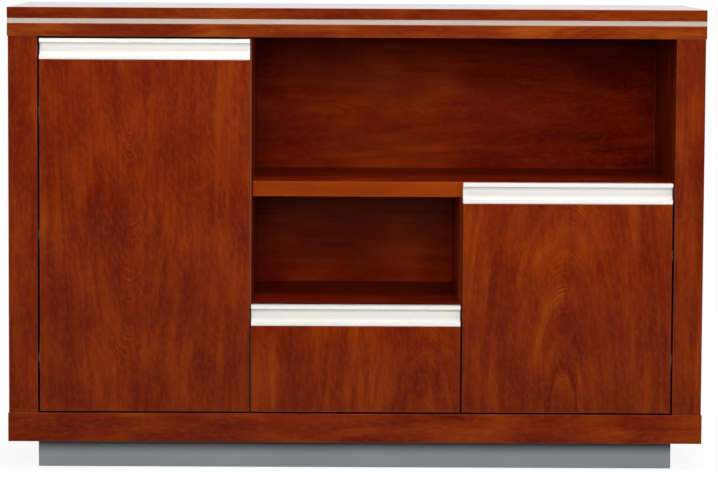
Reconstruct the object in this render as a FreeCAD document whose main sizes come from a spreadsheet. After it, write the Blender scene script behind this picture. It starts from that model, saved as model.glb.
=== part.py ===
"""Office credenza with a tall door, a drawer, a low door and two open compartments.

The document holds one object for each piece, in millimetres. +Z is up, the fronts face -Y and +X is to
the right for someone who faces them. The origin is on the floor, under the middle of the cabinet.
"""

import FreeCAD, Part
import math
import os

import Sketcher

# name, value in mm, meaning
SIZES = [
    ("width", 1200, "overall width, over the top board"),
    ("depth", 400, "overall depth"),
    ("height", 800, "overall height"),
    ("side_reveal", 1.5, "how far top and bottom board stand proud of the sides and fronts"),
    ("side_thickness", 50, "side panels"),
    ("bottom_thickness", 50, "bottom board"),
    ("top_upper_thickness", 19, "upper board of the top"),
    ("top_lower_thickness", 22, "lower board of the top"),
    ("strip_height", 9, "metal strip between the boards of the top"),
    ("strip_depth", 8, "metal strip, from its face inwards"),
    ("divider_thickness", 25, "upright dividers"),
    ("divider_overlay", 1.8, "how far the drawer front laps over each divider"),
    ("shelf_thickness", 26, "centre shelf"),
    ("shelf_height", 501.5, "top of the centre shelf and of the right door, over the floor"),
    ("cell_board_thickness", 25, "board over the drawer"),
    ("cell_board_lift", 4, "top of that board over the top of the drawer front"),
    ("back_thickness", 18, "back panel"),
    ("back_inset", 4, "back panel, from the rear edges of the sides"),
    ("plinth_height", 50, "plinth"),
    ("plinth_inset", 49, "plinth, from the ends of the bottom board"),
    ("plinth_setback", 45, "plinth, from the front edge of the bottom board"),
    ("plinth_back_setback", 20, "plinth, from the rear edge of the bottom board"),
    ("plinth_board", 18, "rails of the plinth"),
    ("plinth_block", 36, "side of a corner block"),
    ("plinth_block_lift", 4, "corner block, over the floor"),
    ("plinth_screw_length", 70, "screw through a corner block"),
    ("front_thickness", 20, "door panels and drawer front"),
    ("front_gap", 3.5, "gap around each front"),
    ("backing_gap", 2.5, "from the back of the fronts to the dividers"),
    ("front_arris", 1.5, "eased upright edges of the fronts"),
    ("drawer_front_height", 185, "drawer front with its grip"),
    ("grip_height", 36, "grip profile"),
    ("grip_lip", 7, "upper lip of the grip profile"),
    ("grip_sill", 6, "lower lip of the grip profile"),
    ("grip_back", 6, "grip profile, behind the deepest line of its hollow"),
    ("grip_cove_bend", 10, "upper bend of the hollow"),
    ("grip_wall", 2, "walls of the grip profile"),
    ("grip_rib_thickness", 2, "rib under the grip profile"),
    ("grip_rib_height", 8, "rib under the grip profile"),
    ("fit", 0.1, "clearance around pieces that are fixed in a hole or groove"),
    ("dowel_radius", 4, "carcass dowel"),
    ("dowel_length", 35, "carcass dowel"),
    ("dowel_spread", 130, "carcass dowels, from the middle of a board's depth"),
    ("cam_radius", 7.5, "cam housing"),
    ("cam_depth", 12.5, "cam housing"),
    ("cam_distance", 34, "cam housing, from the joint"),
    ("cam_bolt_depth", 9.5, "cam bolt, from the face that holds the housing"),
    ("cam_bolt_radius", 3, "cam bolt"),
    ("cam_bolt_anchor", 12, "cam bolt, in the mating board"),
    ("cam_spread", 90, "cam fittings, from the middle of a board's depth"),
    ("back_screw_inset", 130, "screws of the back panel, from the bottom board and the top"),
    ("screw_radius", 2, "wood screw"),
    ("screw_length", 45, "wood screw through a board"),
    ("screw_head_radius", 4, "head of a wood screw"),
    ("screw_head_height", 1.6, "head of a wood screw"),
    ("shelf_board", 18, "adjustable shelf"),
    ("shelf_front_setback", 60, "adjustable shelf, from the sides' front edges"),
    ("shelf_back_gap", 2, "adjustable shelf, to the back panel"),
    ("shelf_side_gap", 1, "adjustable shelf, to the panels beside it"),
    ("shelf_pin_radius", 2.5, "shelf pin"),
    ("shelf_pin_bore", 9, "depth of a shelf pin's hole"),
    ("shelf_pin_length", 17, "shelf pin"),
    ("shelf_row_front", 40, "front row of pin holes, from the shelf's front edge"),
    ("shelf_row_back", 55, "rear row of pin holes, from the shelf's rear edge"),
    ("shelf_row_start", 140, "lowest pin hole, over the bottom board"),
    ("shelf_row_pitch", 32, "pin holes, from one to the next"),
    ("shelf_row_end", 100, "highest pin hole, at least this far below the board over it"),
    ("hinge_end", 90, "hinge, from the end of the door panel"),
    ("hinge_pitch", 300, "hinges of a door, at most this far from one to the next"),
    ("hinge_pin_inset", 7, "hinge pin, from the edge of the door"),
    ("hinge_pin_setback", 7.3, "hinge pin, behind the face of the door"),
    ("hinge_pin_radius", 1.25, "hinge pin"),
    ("hinge_pin_play", 0.05, "clearance around the hinge pin"),
    ("hinge_eye", 2.8, "radius of the arm's eye"),
    ("hinge_play", 0.5, "arm in the slot of the housing"),
    ("housing_floor", 0.7, "front wall of the hinge housing"),
    ("housing_width", 20, "hinge housing, from the edge of the door"),
    ("housing_height", 32, "hinge housing"),
    ("flange_metal", 1.2, "flange of the hinge housing"),
    ("flange_inset", 4, "flange of the hinge housing, from the edge of the door"),
    ("flange_height", 60, "flange of the hinge housing, from end to end"),
    ("flange_screw_spread", 23, "housing screw, from the middle of the housing"),
    ("flange_screw_radius", 1.75, "housing screw"),
    ("flange_screw_length", 13, "housing screw"),
    ("arm_metal", 3, "hinge arm"),
    ("arm_width", 12, "hinge arm"),
    ("arm_reach", 19, "bend of the hinge arm, behind the pin"),
    ("arm_tail", 62, "end of the hinge arm, behind the pin"),
    ("plate_metal", 2.5, "mounting plate"),
    ("plate_overhang", 2, "mounting plate, past the arm's ends and sides"),
    ("plate_wing_length", 48, "wings of the mounting plate, from end to end"),
    ("plate_wing_width", 14, "wings of the mounting plate"),
    ("plate_screw_setback", 36, "plate screws, behind the hinge pin"),
    ("plate_screw_spread", 16, "plate screws, from the middle of the plate"),
    ("plate_screw_radius", 3, "plate screw"),
    ("plate_screw_length", 13.5, "plate screw"),
    ("seat_screw_inset", 8, "screw of the arm, from the arm's end"),
    ("bumper_radius", 4, "door bumper"),
    ("bumper_play", 0.3, "door bumper to door"),
    ("bumper_end", 60, "door bumper, from the end of the door"),
    ("bumper_inset", 8, "middle of a door bumper, from the outer face of the divider"),
    ("box_side", 15, "sides, front and back of the drawer box"),
    ("box_back_gap", 26.5, "drawer box, to the back panel"),
    ("box_lift", 18, "drawer box, over the bottom board"),
    ("box_height", 112, "drawer box"),
    ("box_bottom_thickness", 8, "bottom of the drawer box"),
    ("box_bottom_lift", 10, "bottom of the drawer box, over the sides' lower edge"),
    ("box_groove", 7, "depth of the groove for the bottom"),
    ("box_dowel_radius", 3, "dowel of the drawer box"),
    ("box_dowel_length", 28, "dowel of the drawer box"),
    ("box_dowel_depth", 10, "dowel of the drawer box, in a side"),
    ("box_dowel_low", 44, "lower dowels of the drawer box, over the box's lower edge"),
    ("box_dowel_high", 22, "upper dowels of the drawer box, under the box's upper edge"),
    ("box_screw_length", 26, "screw from the drawer box into the drawer front"),
    ("slide_space", 13, "room for a slide between divider and drawer box"),
    ("slide_metal", 1.2, "sheet of the slide members"),
    ("slide_height", 45.6, "outer slide member"),
    ("slide_start", 6, "slide members, from the dividers' front edges"),
    ("slide_end", 21.5, "slide members, from the rear of the drawer box"),
    ("slide_race_gap", 0.4, "gap between one member and the next, up and down"),
    ("slide_web_gap", 0.8, "gap between the webs of the outer and the middle member"),
    ("slide_outer_gap", 1.8, "outer slide member, to the web of the inner member"),
    ("slide_middle_gap", 1.3, "middle slide member, to the web of the inner member"),
    ("slide_lift", 60, "middle of the slides, over the drawer box's lower edge"),
    ("slide_screw_radius", 2.5, "slide screw"),
    ("slide_screw_length", 13, "slide screw"),
    ("slide_screw_inset", 40, "slide screw, from the ends of a member"),
]


class Length:
    """A length that stays an expression over the sheet's cells and knows its present value."""

    def __init__(self, text, value):
        self.text = text
        self.value = value

    def combine(self, sign, other, value):
        """Two lengths joined by a sign, with the value worked out."""
        return Length(f"({self.text} {sign} {other.text})", value)

    def __add__(self, other):
        other = length(other)
        return self.combine("+", other, self.value + other.value)

    def __sub__(self, other):
        other = length(other)
        return self.combine("-", other, self.value - other.value)

    def __mul__(self, other):
        other = length(other)
        return self.combine("*", other, self.value * other.value)

    def __truediv__(self, other):
        other = length(other)
        return self.combine("/", other, self.value / other.value)

    def __neg__(self):
        return length(0) - self

    __radd__ = __add__
    __rmul__ = __mul__


def length(value):
    """A plain number or a Length, as a Length."""
    return value if isinstance(value, Length) else Length(repr(value), value)


def root(square):
    """The square root of a Length."""
    return Length(f"sqrt({square.text})", math.sqrt(square.value))


class Sizes:
    """The document's sheet; each cell with an alias is read as an attribute."""

    def __init__(self, document, rows):
        sheet = document.addObject("Spreadsheet::Sheet", "Sizes")
        self.values = {}
        for row, (name, value, meaning) in enumerate(rows, 1):
            sheet.set(f"A{row}", name)
            sheet.set(f"B{row}", str(value))
            sheet.set(f"C{row}", meaning)
            sheet.setAlias(f"B{row}", name)
            self.values[name] = value
        document.recompute()

    def __getattr__(self, name):
        return Length(f"Sizes.{name}", self.values[name])


doc = FreeCAD.newDocument("Credenza")
size = Sizes(doc, SIZES)
pieces = {}

AXES = {"x": FreeCAD.Vector(1, 0, 0), "y": FreeCAD.Vector(0, 1, 0), "z": FreeCAD.Vector(0, 0, 1)}


# ---------------------------------------------------------------- tools for the pieces


def keep(name, item):
    """Makes an object a piece of its own, under the name of its file."""
    item.Label = name
    pieces[name] = item
    return item


def bind(item, **lengths):
    """Ties properties of an object to lengths."""
    for name, value in lengths.items():
        item.setExpression(name, length(value).text)


def place(item, x, y, z):
    """Ties the place of an object's own origin."""
    for axis, value in zip("xyz", (x, y, z)):
        item.setExpression(f"Placement.Base.{axis}", length(value).text)


def block(name, x, y, z):
    """A box, given by its low and high end along each axis."""
    box = doc.addObject("Part::Box", name)
    bind(box, Length=x[1] - x[0], Width=y[1] - y[0], Height=z[1] - z[0])
    place(box, x[0], y[0], z[0])
    return box


def rod(name, start, direction, radius, reach):
    """A cylinder that runs from a point along a direction such as "-y"."""
    sign = -1 if direction[0] == "-" else 1
    cylinder = doc.addObject("Part::Cylinder", name)
    turn = FreeCAD.Rotation(AXES["z"], AXES[direction[1]] * sign)
    cylinder.Placement = FreeCAD.Placement(FreeCAD.Vector(), turn)
    bind(cylinder, Radius=radius, Height=reach)
    place(cylinder, *start)
    return cylinder


def moved(point, direction, distance):
    """The point at a distance from another, along a direction such as "-y"."""
    index = "xyz".index(direction[1])
    step = -length(distance) if direction[0] == "-" else length(distance)
    return tuple(value + step if i == index else value for i, value in enumerate(point))


def opposite(direction):
    """The direction the other way."""
    return ("+" if direction[0] == "-" else "-") + direction[1]


def fuse(name, items):
    """One solid out of several."""
    union = doc.addObject("Part::MultiFuse", name)
    union.Shapes = items
    union.Refine = True
    return union


def group(name, items):
    """Separate solids that share one piece's name."""
    compound = doc.addObject("Part::Compound", name)
    compound.Links = items
    return compound


def cut(name, base, tools):
    """A solid with other solids taken away."""
    if not tools:
        return base
    result = doc.addObject("Part::Cut", name)
    result.Base = base
    result.Tool = group(f"{name}_holes", tools)
    return result


def span(side, near, far):
    """The low and high x of a stretch given by its distances from the middle of the cabinet."""
    return (near, far) if side > 0 else (-far, -near)


def outward(side):
    """The direction from the middle of the cabinet to one of its sides."""
    return "+x" if side > 0 else "-x"


def inward(side):
    """The direction from one side of the cabinet to its middle."""
    return outward(-side)


class Bored:
    """Anything that fittings bore holes in."""

    def __init__(self):
        self.holes = []


class Board(Bored):
    """A board and the holes that its fittings need."""

    def __init__(self, name, x, y, z):
        super().__init__()
        self.name = name
        self.body = block(f"{name}_blank", x, y, z)

    def finish(self):
        keep(self.name, cut(f"{self.name}_bored", self.body, self.holes))


class Fittings:
    """Groups of small fittings; each of them bores its own hole."""

    def __init__(self):
        self.items = {}

    def add(self, name, item):
        self.items.setdefault(name, []).append(item)

    def peg(self, name, boards, start, direction, radius, reach):
        """A round fitting, flush with the face that it starts from."""
        self.add(name, rod(f"{name}_shank", start, direction, radius, reach))
        hole = rod(f"{name}_hole", start, direction, radius + size.fit, reach)
        for board in boards:
            board.holes.append(hole)

    def dowel(self, boards, joint, direction):
        """A dowel, half on each side of a joint."""
        start = moved(joint, direction, -(size.dowel_length / 2))
        self.peg("carcass_dowels", boards, start, direction, size.dowel_radius, size.dowel_length)

    def screw(self, name, boards, start, direction, reach):
        """A wood screw whose head lies on the face that it starts from."""
        back = opposite(direction)
        shank = rod(f"{name}_shank", start, direction, size.screw_radius, reach)
        head = rod(f"{name}_head", start, back, size.screw_head_radius, size.screw_head_height)
        self.add(name, fuse(f"{name}_screw", [shank, head]))
        hole = rod(f"{name}_hole", start, direction, size.screw_radius + size.fit, reach)
        for board in boards:
            board.holes.append(hole)

    def cam(self, host, mate, joint, direction, face):
        """A cam housing in the host's face and a bolt from it into the mating board.

        The joint is the point of the host's face at the joint, direction leads from the mating board
        into the host and face leads from the host's face into the board.
        """
        centre = moved(joint, direction, size.cam_distance)
        self.peg("cam_housings", [host], centre, face, size.cam_radius, size.cam_depth)
        start = moved(moved(joint, direction, -size.cam_bolt_anchor), face, size.cam_bolt_depth)
        reach = size.cam_bolt_anchor + size.cam_distance - size.cam_radius - 2 * size.fit
        self.peg("cam_bolts", [host, mate], start, direction, size.cam_bolt_radius, reach)

    def finish(self):
        for name, items in self.items.items():
            keep(name, group(name, items))


def origin_feature(body, role):
    """One of the planes and axes of a body's own origin."""
    return next(item for item in body.Origin.OriginFeatures if item.Role == role)


def fix(sketch, segment, end, kind, value):
    """Ties one coordinate of a point of a segment to the sketch's origin."""
    index = sketch.addConstraint(Sketcher.Constraint(kind, -1, 1, segment, end, value.value))
    sketch.setExpression(f"Constraints[{index}]", value.text)


def arc_between(start, end, centre):
    """The counter-clockwise arc about a centre from one point to another."""
    angles = []
    for point in (start, end):
        angles.append(math.atan2(point[1].value - centre[1].value, point[0].value - centre[0].value))
    radius = math.hypot(start[0].value - centre[0].value, start[1].value - centre[1].value)
    middle = FreeCAD.Vector(centre[0].value, centre[1].value, 0)
    circle = Part.Circle(middle, AXES["z"], radius)
    return Part.ArcOfCircle(circle, angles[0], angles[1])


def draw(sketch, outline):
    """Draws a closed outline in a sketch and ties its corners.

    Each entry is a corner (u, v), or (u, v, centre, turn) where the run to the next corner is an arc
    about the centre, turning "left" (counter-clockwise) or "right". An arc is held by its two ends and
    the height of its centre.
    """
    first = sketch.GeometryCount
    corners = [tuple(length(value) for value in entry[:2]) for entry in outline]
    ends = []
    for index, entry in enumerate(outline):
        start, stop = corners[index], corners[(index + 1) % len(corners)]
        if len(entry) == 2:
            run = [FreeCAD.Vector(point[0].value, point[1].value, 0) for point in (start, stop)]
            sketch.addGeometry(Part.LineSegment(*run))
            ends.append((1, 2))
            continue
        centre = tuple(length(value) for value in entry[2])
        left = entry[3] == "left"
        sketch.addGeometry(arc_between(*((start, stop) if left else (stop, start)), centre))
        ends.append((1, 2) if left else (2, 1))
        fix(sketch, first + index, 3, "DistanceY", centre[1])
    for index, corner in enumerate(corners):
        before = index - 1 if index else len(corners) - 1
        pair = (first + before, ends[before][1], first + index, ends[index][0])
        sketch.addConstraint(Sketcher.Constraint("Coincident", *pair))
        for kind, value in zip(("DistanceX", "DistanceY"), corner):
            fix(sketch, first + index, ends[index][0], kind, value)


def profile(name, plane, outlines, reach):
    """A body whose sketch on one of its own planes is padded along the plane's normal."""
    body = doc.addObject("PartDesign::Body", name)
    sketch = body.newObject("Sketcher::SketchObject", f"{name}_outline")
    sketch.AttachmentSupport = [(origin_feature(body, plane), "")]
    sketch.MapMode = "FlatFace"
    for outline in outlines:
        draw(sketch, outline)
    pad = body.newObject("PartDesign::Pad", f"{name}_pad")
    pad.Profile = sketch
    bind(pad, Length=reach)
    return body, pad


# ---------------------------------------------------------------- lines that the pieces share

HALF_DEPTH = size.depth / 2
SIDE_OUT = size.width / 2 - size.side_reveal
SIDE_IN = SIDE_OUT - size.side_thickness
FACE = size.side_reveal - HALF_DEPTH
FRONTS_BACK = FACE + size.front_thickness
INNER_FRONT = FRONTS_BACK + size.backing_gap
BACK_OUT = HALF_DEPTH - size.back_inset
BACK_IN = BACK_OUT - size.back_thickness
FLOOR_TOP = size.plinth_height + size.bottom_thickness
STRIP_TOP = size.height - size.top_upper_thickness
STRIP_LOW = STRIP_TOP - size.strip_height
ROOF = STRIP_LOW - size.top_lower_thickness
FRONT_WIDTH = (2 * SIDE_IN - 4 * size.front_gap) / 3
FRONT_LOW = FLOOR_TOP + size.front_gap
BAY_HALF = FRONT_WIDTH / 2 - size.divider_overlay
DIVIDER_FAR = BAY_HALF + size.divider_thickness
SHELF_LOW = size.shelf_height - size.shelf_thickness
DRAWER_TOP = FRONT_LOW + size.drawer_front_height
CELL_TOP = DRAWER_TOP + size.cell_board_lift
CELL_LOW = CELL_TOP - size.cell_board_thickness
INSIDE = (INNER_FRONT, BACK_IN)
DEEP = (-HALF_DEPTH, HALF_DEPTH)

fittings = Fittings()
spreads = (-1, 1)


# ---------------------------------------------------------------- carcass


def make_boards():
    """The boards of the carcass, by name, before their holes."""
    ends = (-size.width / 2, size.width / 2)
    core = (-size.width / 2 + size.strip_depth, size.width / 2 - size.strip_depth)
    sides = (FACE, HALF_DEPTH)
    between = (-SIDE_IN, SIDE_IN)
    layout = {
        "top_upper_board": (ends, DEEP, (STRIP_TOP, size.height)),
        "top_core_board": (core, (size.strip_depth - HALF_DEPTH, HALF_DEPTH), (STRIP_LOW, STRIP_TOP)),
        "top_lower_board": (ends, DEEP, (ROOF, STRIP_LOW)),
        "bottom_board": (ends, DEEP, (size.plinth_height, FLOOR_TOP)),
        "left_side_panel": (span(-1, SIDE_IN, SIDE_OUT), sides, (FLOOR_TOP, ROOF)),
        "right_side_panel": (span(1, SIDE_IN, SIDE_OUT), sides, (FLOOR_TOP, ROOF)),
        "left_divider": (span(-1, BAY_HALF, DIVIDER_FAR), INSIDE, (FLOOR_TOP, ROOF)),
        "right_divider": (span(1, BAY_HALF, DIVIDER_FAR), INSIDE, (FLOOR_TOP, SHELF_LOW)),
        "centre_shelf": ((-BAY_HALF, SIDE_IN), INSIDE, (SHELF_LOW, size.shelf_height)),
        "drawer_cell_board": ((-BAY_HALF, BAY_HALF), INSIDE, (CELL_LOW, CELL_TOP)),
        "back_panel": (between, (BACK_IN, BACK_OUT), (FLOOR_TOP, ROOF)),
    }
    return {name: Board(name, *ranges) for name, ranges in layout.items()}


def make_strip():
    """The metal strip round the front and the ends of the top, in three mitred lengths."""
    half = size.width / 2
    inner = half - size.strip_depth
    front = -HALF_DEPTH
    behind = front + size.strip_depth
    lengths = {
        "front": [(-half, front), (half, front), (inner, behind), (-inner, behind)],
        "left": [(-half, front), (-inner, behind), (-inner, HALF_DEPTH), (-half, HALF_DEPTH)],
        "right": [(half, front), (half, HALF_DEPTH), (inner, HALF_DEPTH), (inner, behind)],
    }
    runs = []
    for name, outline in lengths.items():
        body, _ = profile(f"strip_{name}", "XY_Plane", [outline], size.strip_height)
        place(body, 0, 0, STRIP_LOW)
        runs.append(body)
    keep("top_edge_strip", group("top_edge_strip", runs))


def join_carcass(boards):
    """Dowels, cams and screws between the boards of the carcass."""
    top, bottom, shelf = boards["top_lower_board"], boards["bottom_board"], boards["centre_shelf"]
    cell = boards["drawer_cell_board"]
    for side, label in ((-1, "left"), (1, "right")):
        panel, divider = boards[f"{label}_side_panel"], boards[f"{label}_divider"]
        cap, crown = (top, ROOF) if side < 0 else (shelf, SHELF_LOW)
        panel_middle = side * (SIDE_IN + size.side_thickness / 2)
        divider_middle = side * (BAY_HALF + size.divider_thickness / 2)
        for way in spreads:
            at = way * size.dowel_spread
            fittings.dowel([panel, bottom], (panel_middle, at, FLOOR_TOP), "+z")
            fittings.dowel([panel, top], (panel_middle, at, ROOF), "+z")
            fittings.dowel([divider, bottom], (divider_middle, at, FLOOR_TOP), "+z")
            fittings.dowel([divider, cap], (divider_middle, at, crown), "+z")
            at = way * size.cam_spread
            fittings.cam(panel, bottom, (side * SIDE_IN, at, FLOOR_TOP), "+z", outward(side))
            fittings.cam(panel, top, (side * SIDE_IN, at, ROOF), "-z", outward(side))
            fittings.cam(divider, bottom, (side * DIVIDER_FAR, at, FLOOR_TOP), "+z", inward(side))
            cell_middle = CELL_LOW + size.cell_board_thickness / 2
            cell_end = (side * DIVIDER_FAR, at, cell_middle)
            fittings.screw("board_screws", [divider, cell], cell_end, inward(side), size.screw_length)
            shelf_middle = SHELF_LOW + size.shelf_thickness / 2
            if side < 0:
                end = (-DIVIDER_FAR, at, shelf_middle)
                fittings.screw("board_screws", [divider, shelf], end, "+x", size.screw_length)
                fittings.cam(divider, top, (-DIVIDER_FAR, at, ROOF), "-z", "+x")
            else:
                fittings.dowel([shelf, panel], (SIDE_IN, at, shelf_middle), "+x")


def hang_back(boards):
    """Screws through the back panel into the dividers, the shelf and the board over the drawer."""
    back = boards["back_panel"]
    low = FLOOR_TOP + size.back_screw_inset
    high = ROOF - size.back_screw_inset
    left = -(BAY_HALF + size.divider_thickness / 2)
    shelf_middle = SHELF_LOW + size.shelf_thickness / 2
    cell_middle = CELL_LOW + size.cell_board_thickness / 2
    places = [
        ("left_divider", left, low),
        ("left_divider", left, high),
        ("right_divider", -left, low),
        ("centre_shelf", -BAY_HALF / 2, shelf_middle),
        ("centre_shelf", SIDE_IN - BAY_HALF, shelf_middle),
        ("drawer_cell_board", length(0), cell_middle),
    ]
    for name, x, z in places:
        boards_here = [back, boards[name]]
        fittings.screw("back_panel_screws", boards_here, (x, BACK_OUT, z), "-y", size.screw_length)


def make_plinth(bottom):
    """Rails, corner blocks and screws of the plinth."""
    far = size.width / 2 - size.plinth_inset
    front = size.plinth_setback - HALF_DEPTH
    back = HALF_DEPTH - size.plinth_back_setback
    inner_far = far - size.plinth_board
    inner_front = front + size.plinth_board
    inner_back = back - size.plinth_board
    tall = (length(0), size.plinth_height)
    between = (inner_front, inner_back)
    middle = (-size.plinth_board / 2, size.plinth_board / 2)
    rails = {
        "plinth_front_rail": ((-far, far), (front, inner_front), tall),
        "plinth_back_rail": ((-far, far), (inner_back, back), tall),
        "plinth_left_rail": ((-far, -inner_far), between, tall),
        "plinth_right_rail": ((inner_far, far), between, tall),
        "plinth_centre_rail": (middle, between, tall),
    }
    for name, ranges in rails.items():
        Board(name, *ranges).finish()
    blocks = []
    high = (size.plinth_block_lift, size.plinth_height)
    front_corner = (inner_front, inner_front + size.plinth_block)
    back_corner = (inner_back - size.plinth_block, inner_back)
    for side in (-1, 1):
        x = span(side, inner_far - size.plinth_block, inner_far)
        for y in (front_corner, back_corner):
            corner = Board("plinth_corner_block", x, y, high)
            start = ((x[0] + x[1]) / 2, (y[0] + y[1]) / 2, size.plinth_block_lift)
            radius = size.screw_radius + size.fit
            fittings.peg("plinth_screws", [corner, bottom], start, "+z", radius, size.plinth_screw_length)
            blocks.append(cut("plinth_corner_block_bored", corner.body, corner.holes))
    keep("plinth_corner_blocks", group("plinth_corner_blocks", blocks))


# ---------------------------------------------------------------- inside the cabinets


def holes_up_to(height):
    """The number of whole pitches of pin holes from the lowest hole up to a height."""
    return (height - FLOOR_TOP - size.shelf_row_start).value / size.shelf_row_pitch.value


def make_shelves(boards, cabinets):
    """Adjustable shelves on pins, and the rows of holes that the pins go in.

    Each cabinet has its side, its label, the height of the board over it, the names of its shelves
    from the lowest up, and the heights of its hinges. A shelf rests in the first hole over the middle
    between two hinges, so that it is clear of both.
    """
    front = FACE + size.shelf_front_setback
    back = BACK_IN - size.shelf_back_gap
    rows = (front + size.shelf_row_front, back - size.shelf_row_back)
    start = FLOOR_TOP + size.shelf_row_start
    proud = size.shelf_pin_length - size.shelf_pin_bore
    for side, label, over, names, hinges in cabinets:
        count = math.floor(holes_up_to(over - size.shelf_row_end)) + 1
        middles = [(low + high) / 2 for low, high in zip(hinges, hinges[1:])]
        shelves = {name: math.ceil(holes_up_to(middle)) for name, middle in zip(names, middles)}
        walls = (
            (boards[f"{label}_side_panel"], side * SIDE_IN, outward(side), inward(side)),
            (boards[f"{label}_divider"], side * DIVIDER_FAR, inward(side), outward(side)),
        )
        for board, x, into, out in walls:
            for y in rows:
                for hole in range(count):
                    z = start + hole * size.shelf_row_pitch
                    radius = size.shelf_pin_radius + size.fit
                    board.holes.append(rod("pin_hole", (x, y, z), into, radius, size.shelf_pin_bore))
                    if hole in shelves.values():
                        foot = moved((x, y, z), out, proud)
                        pin = rod("pin", foot, into, size.shelf_pin_radius, size.shelf_pin_length)
                        fittings.add("shelf_pins", pin)
        across = span(side, DIVIDER_FAR + size.shelf_side_gap, SIDE_IN - size.shelf_side_gap)
        for name, hole in shelves.items():
            low = start + hole * size.shelf_row_pitch + size.shelf_pin_radius
            Board(f"{label}_cabinet_{name}", across, (front, back), (low, low + size.shelf_board)).finish()


# ---------------------------------------------------------------- fronts


def grip_outlines():
    """The section of the grip profile: the outer line and the chamber behind the hollow.

    The first number runs from the face backwards, the second upwards from the foot of the profile.
    """
    deep, high, wall = size.front_thickness, size.grip_height, size.grip_wall
    cove, bend, sill = deep - size.grip_back, size.grip_cove_bend, size.grip_sill
    under_lip = high - size.grip_lip
    middle = under_lip - bend
    drop = middle - sill
    sweep = (cove * cove + drop * drop) / (2 * cove)
    centre = (cove - sweep, middle)
    rib = (deep - size.grip_rib_thickness) / 2
    outer = [
        (0, 0),
        (rib, 0),
        (rib, -size.grip_rib_height),
        (rib + size.grip_rib_thickness, -size.grip_rib_height),
        (rib + size.grip_rib_thickness, 0),
        (deep, 0),
        (deep, high),
        (0, high),
        (0, under_lip),
        (cove - bend, under_lip, (cove - bend, middle), "right"),
        (cove, middle, centre, "right"),
        (0, sill),
    ]
    shell = sweep + wall
    rise = middle - root(shell * shell - (wall - centre[0]) * (wall - centre[0]))
    chamber = [
        (wall, wall),
        (deep - wall, wall),
        (deep - wall, middle),
        (cove + wall, middle, centre, "right"),
        (wall, rise),
    ]
    return [outer, chamber]


class Front(Bored):
    """A door panel or drawer front with its grip profile."""

    def __init__(self, name, grip, bay, top):
        super().__init__()
        self.name = name
        self.grip = grip
        self.left = size.front_gap - SIDE_IN + bay * (FRONT_WIDTH + size.front_gap)
        self.right = self.left + FRONT_WIDTH
        self.top = top - size.grip_height
        x = (self.left, self.right)
        self.blank = block(f"{name}_blank", x, (FACE, FRONTS_BACK), (FRONT_LOW, self.top))
        side_room = size.grip_rib_thickness / 2 + size.fit
        middle = (FACE + FRONTS_BACK) / 2
        floor = self.top - size.grip_rib_height - size.fit
        groove = block(f"{name}_groove", x, (middle - side_room, middle + side_room), (floor, self.top))
        self.holes.append(groove)

    def finish(self):
        """Eases the upright edges of the face, bores the holes and adds the grip."""
        doc.recompute()
        eased = doc.addObject("Part::Fillet", f"{self.name}_eased")
        eased.Base = self.blank
        radius = size.front_arris.value
        edges = []
        for index, edge in enumerate(self.blank.Shape.Edges, 1):
            box = edge.BoundBox
            if box.ZLength > 2 * radius and abs(box.YMin - self.blank.Shape.BoundBox.YMin) < radius:
                edges.append((index, radius, radius))
        eased.Edges = edges
        keep(self.name, cut(f"{self.name}_bored", eased, self.holes))
        body, _ = profile(self.grip, "YZ_Plane", grip_outlines(), FRONT_WIDTH)
        place(body, self.left, FACE, self.top)
        keep(self.grip, body)


# ---------------------------------------------------------------- hinges


def arm_outline():
    """The line of a left hinge arm round its pin: x towards the middle, y towards the back.

    It leaves the pin straight to the back, clears the turning edge of the door, steps to the side
    panel and lies flat on the mounting plate.
    """
    half = size.arm_metal / 2
    bend = size.arm_reach
    near = size.plate_metal - size.hinge_pin_inset - size.front_gap
    far = near + size.arm_metal
    run = root(size.hinge_eye * size.hinge_eye - half * half)
    return [
        (half, run),
        (half, bend + half),
        (far, bend + half),
        (far, size.arm_tail),
        (near, size.arm_tail),
        (near, bend - half),
        (-half, bend - half),
        (-half, run, (0, 0), "left"),
    ]


def eye_hole():
    """The round hole of the arm's eye, as two half circles."""
    radius = size.hinge_pin_radius + size.hinge_pin_play
    return [(radius, 0, (0, 0), "left"), (-radius, 0, (0, 0), "left")]


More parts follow.
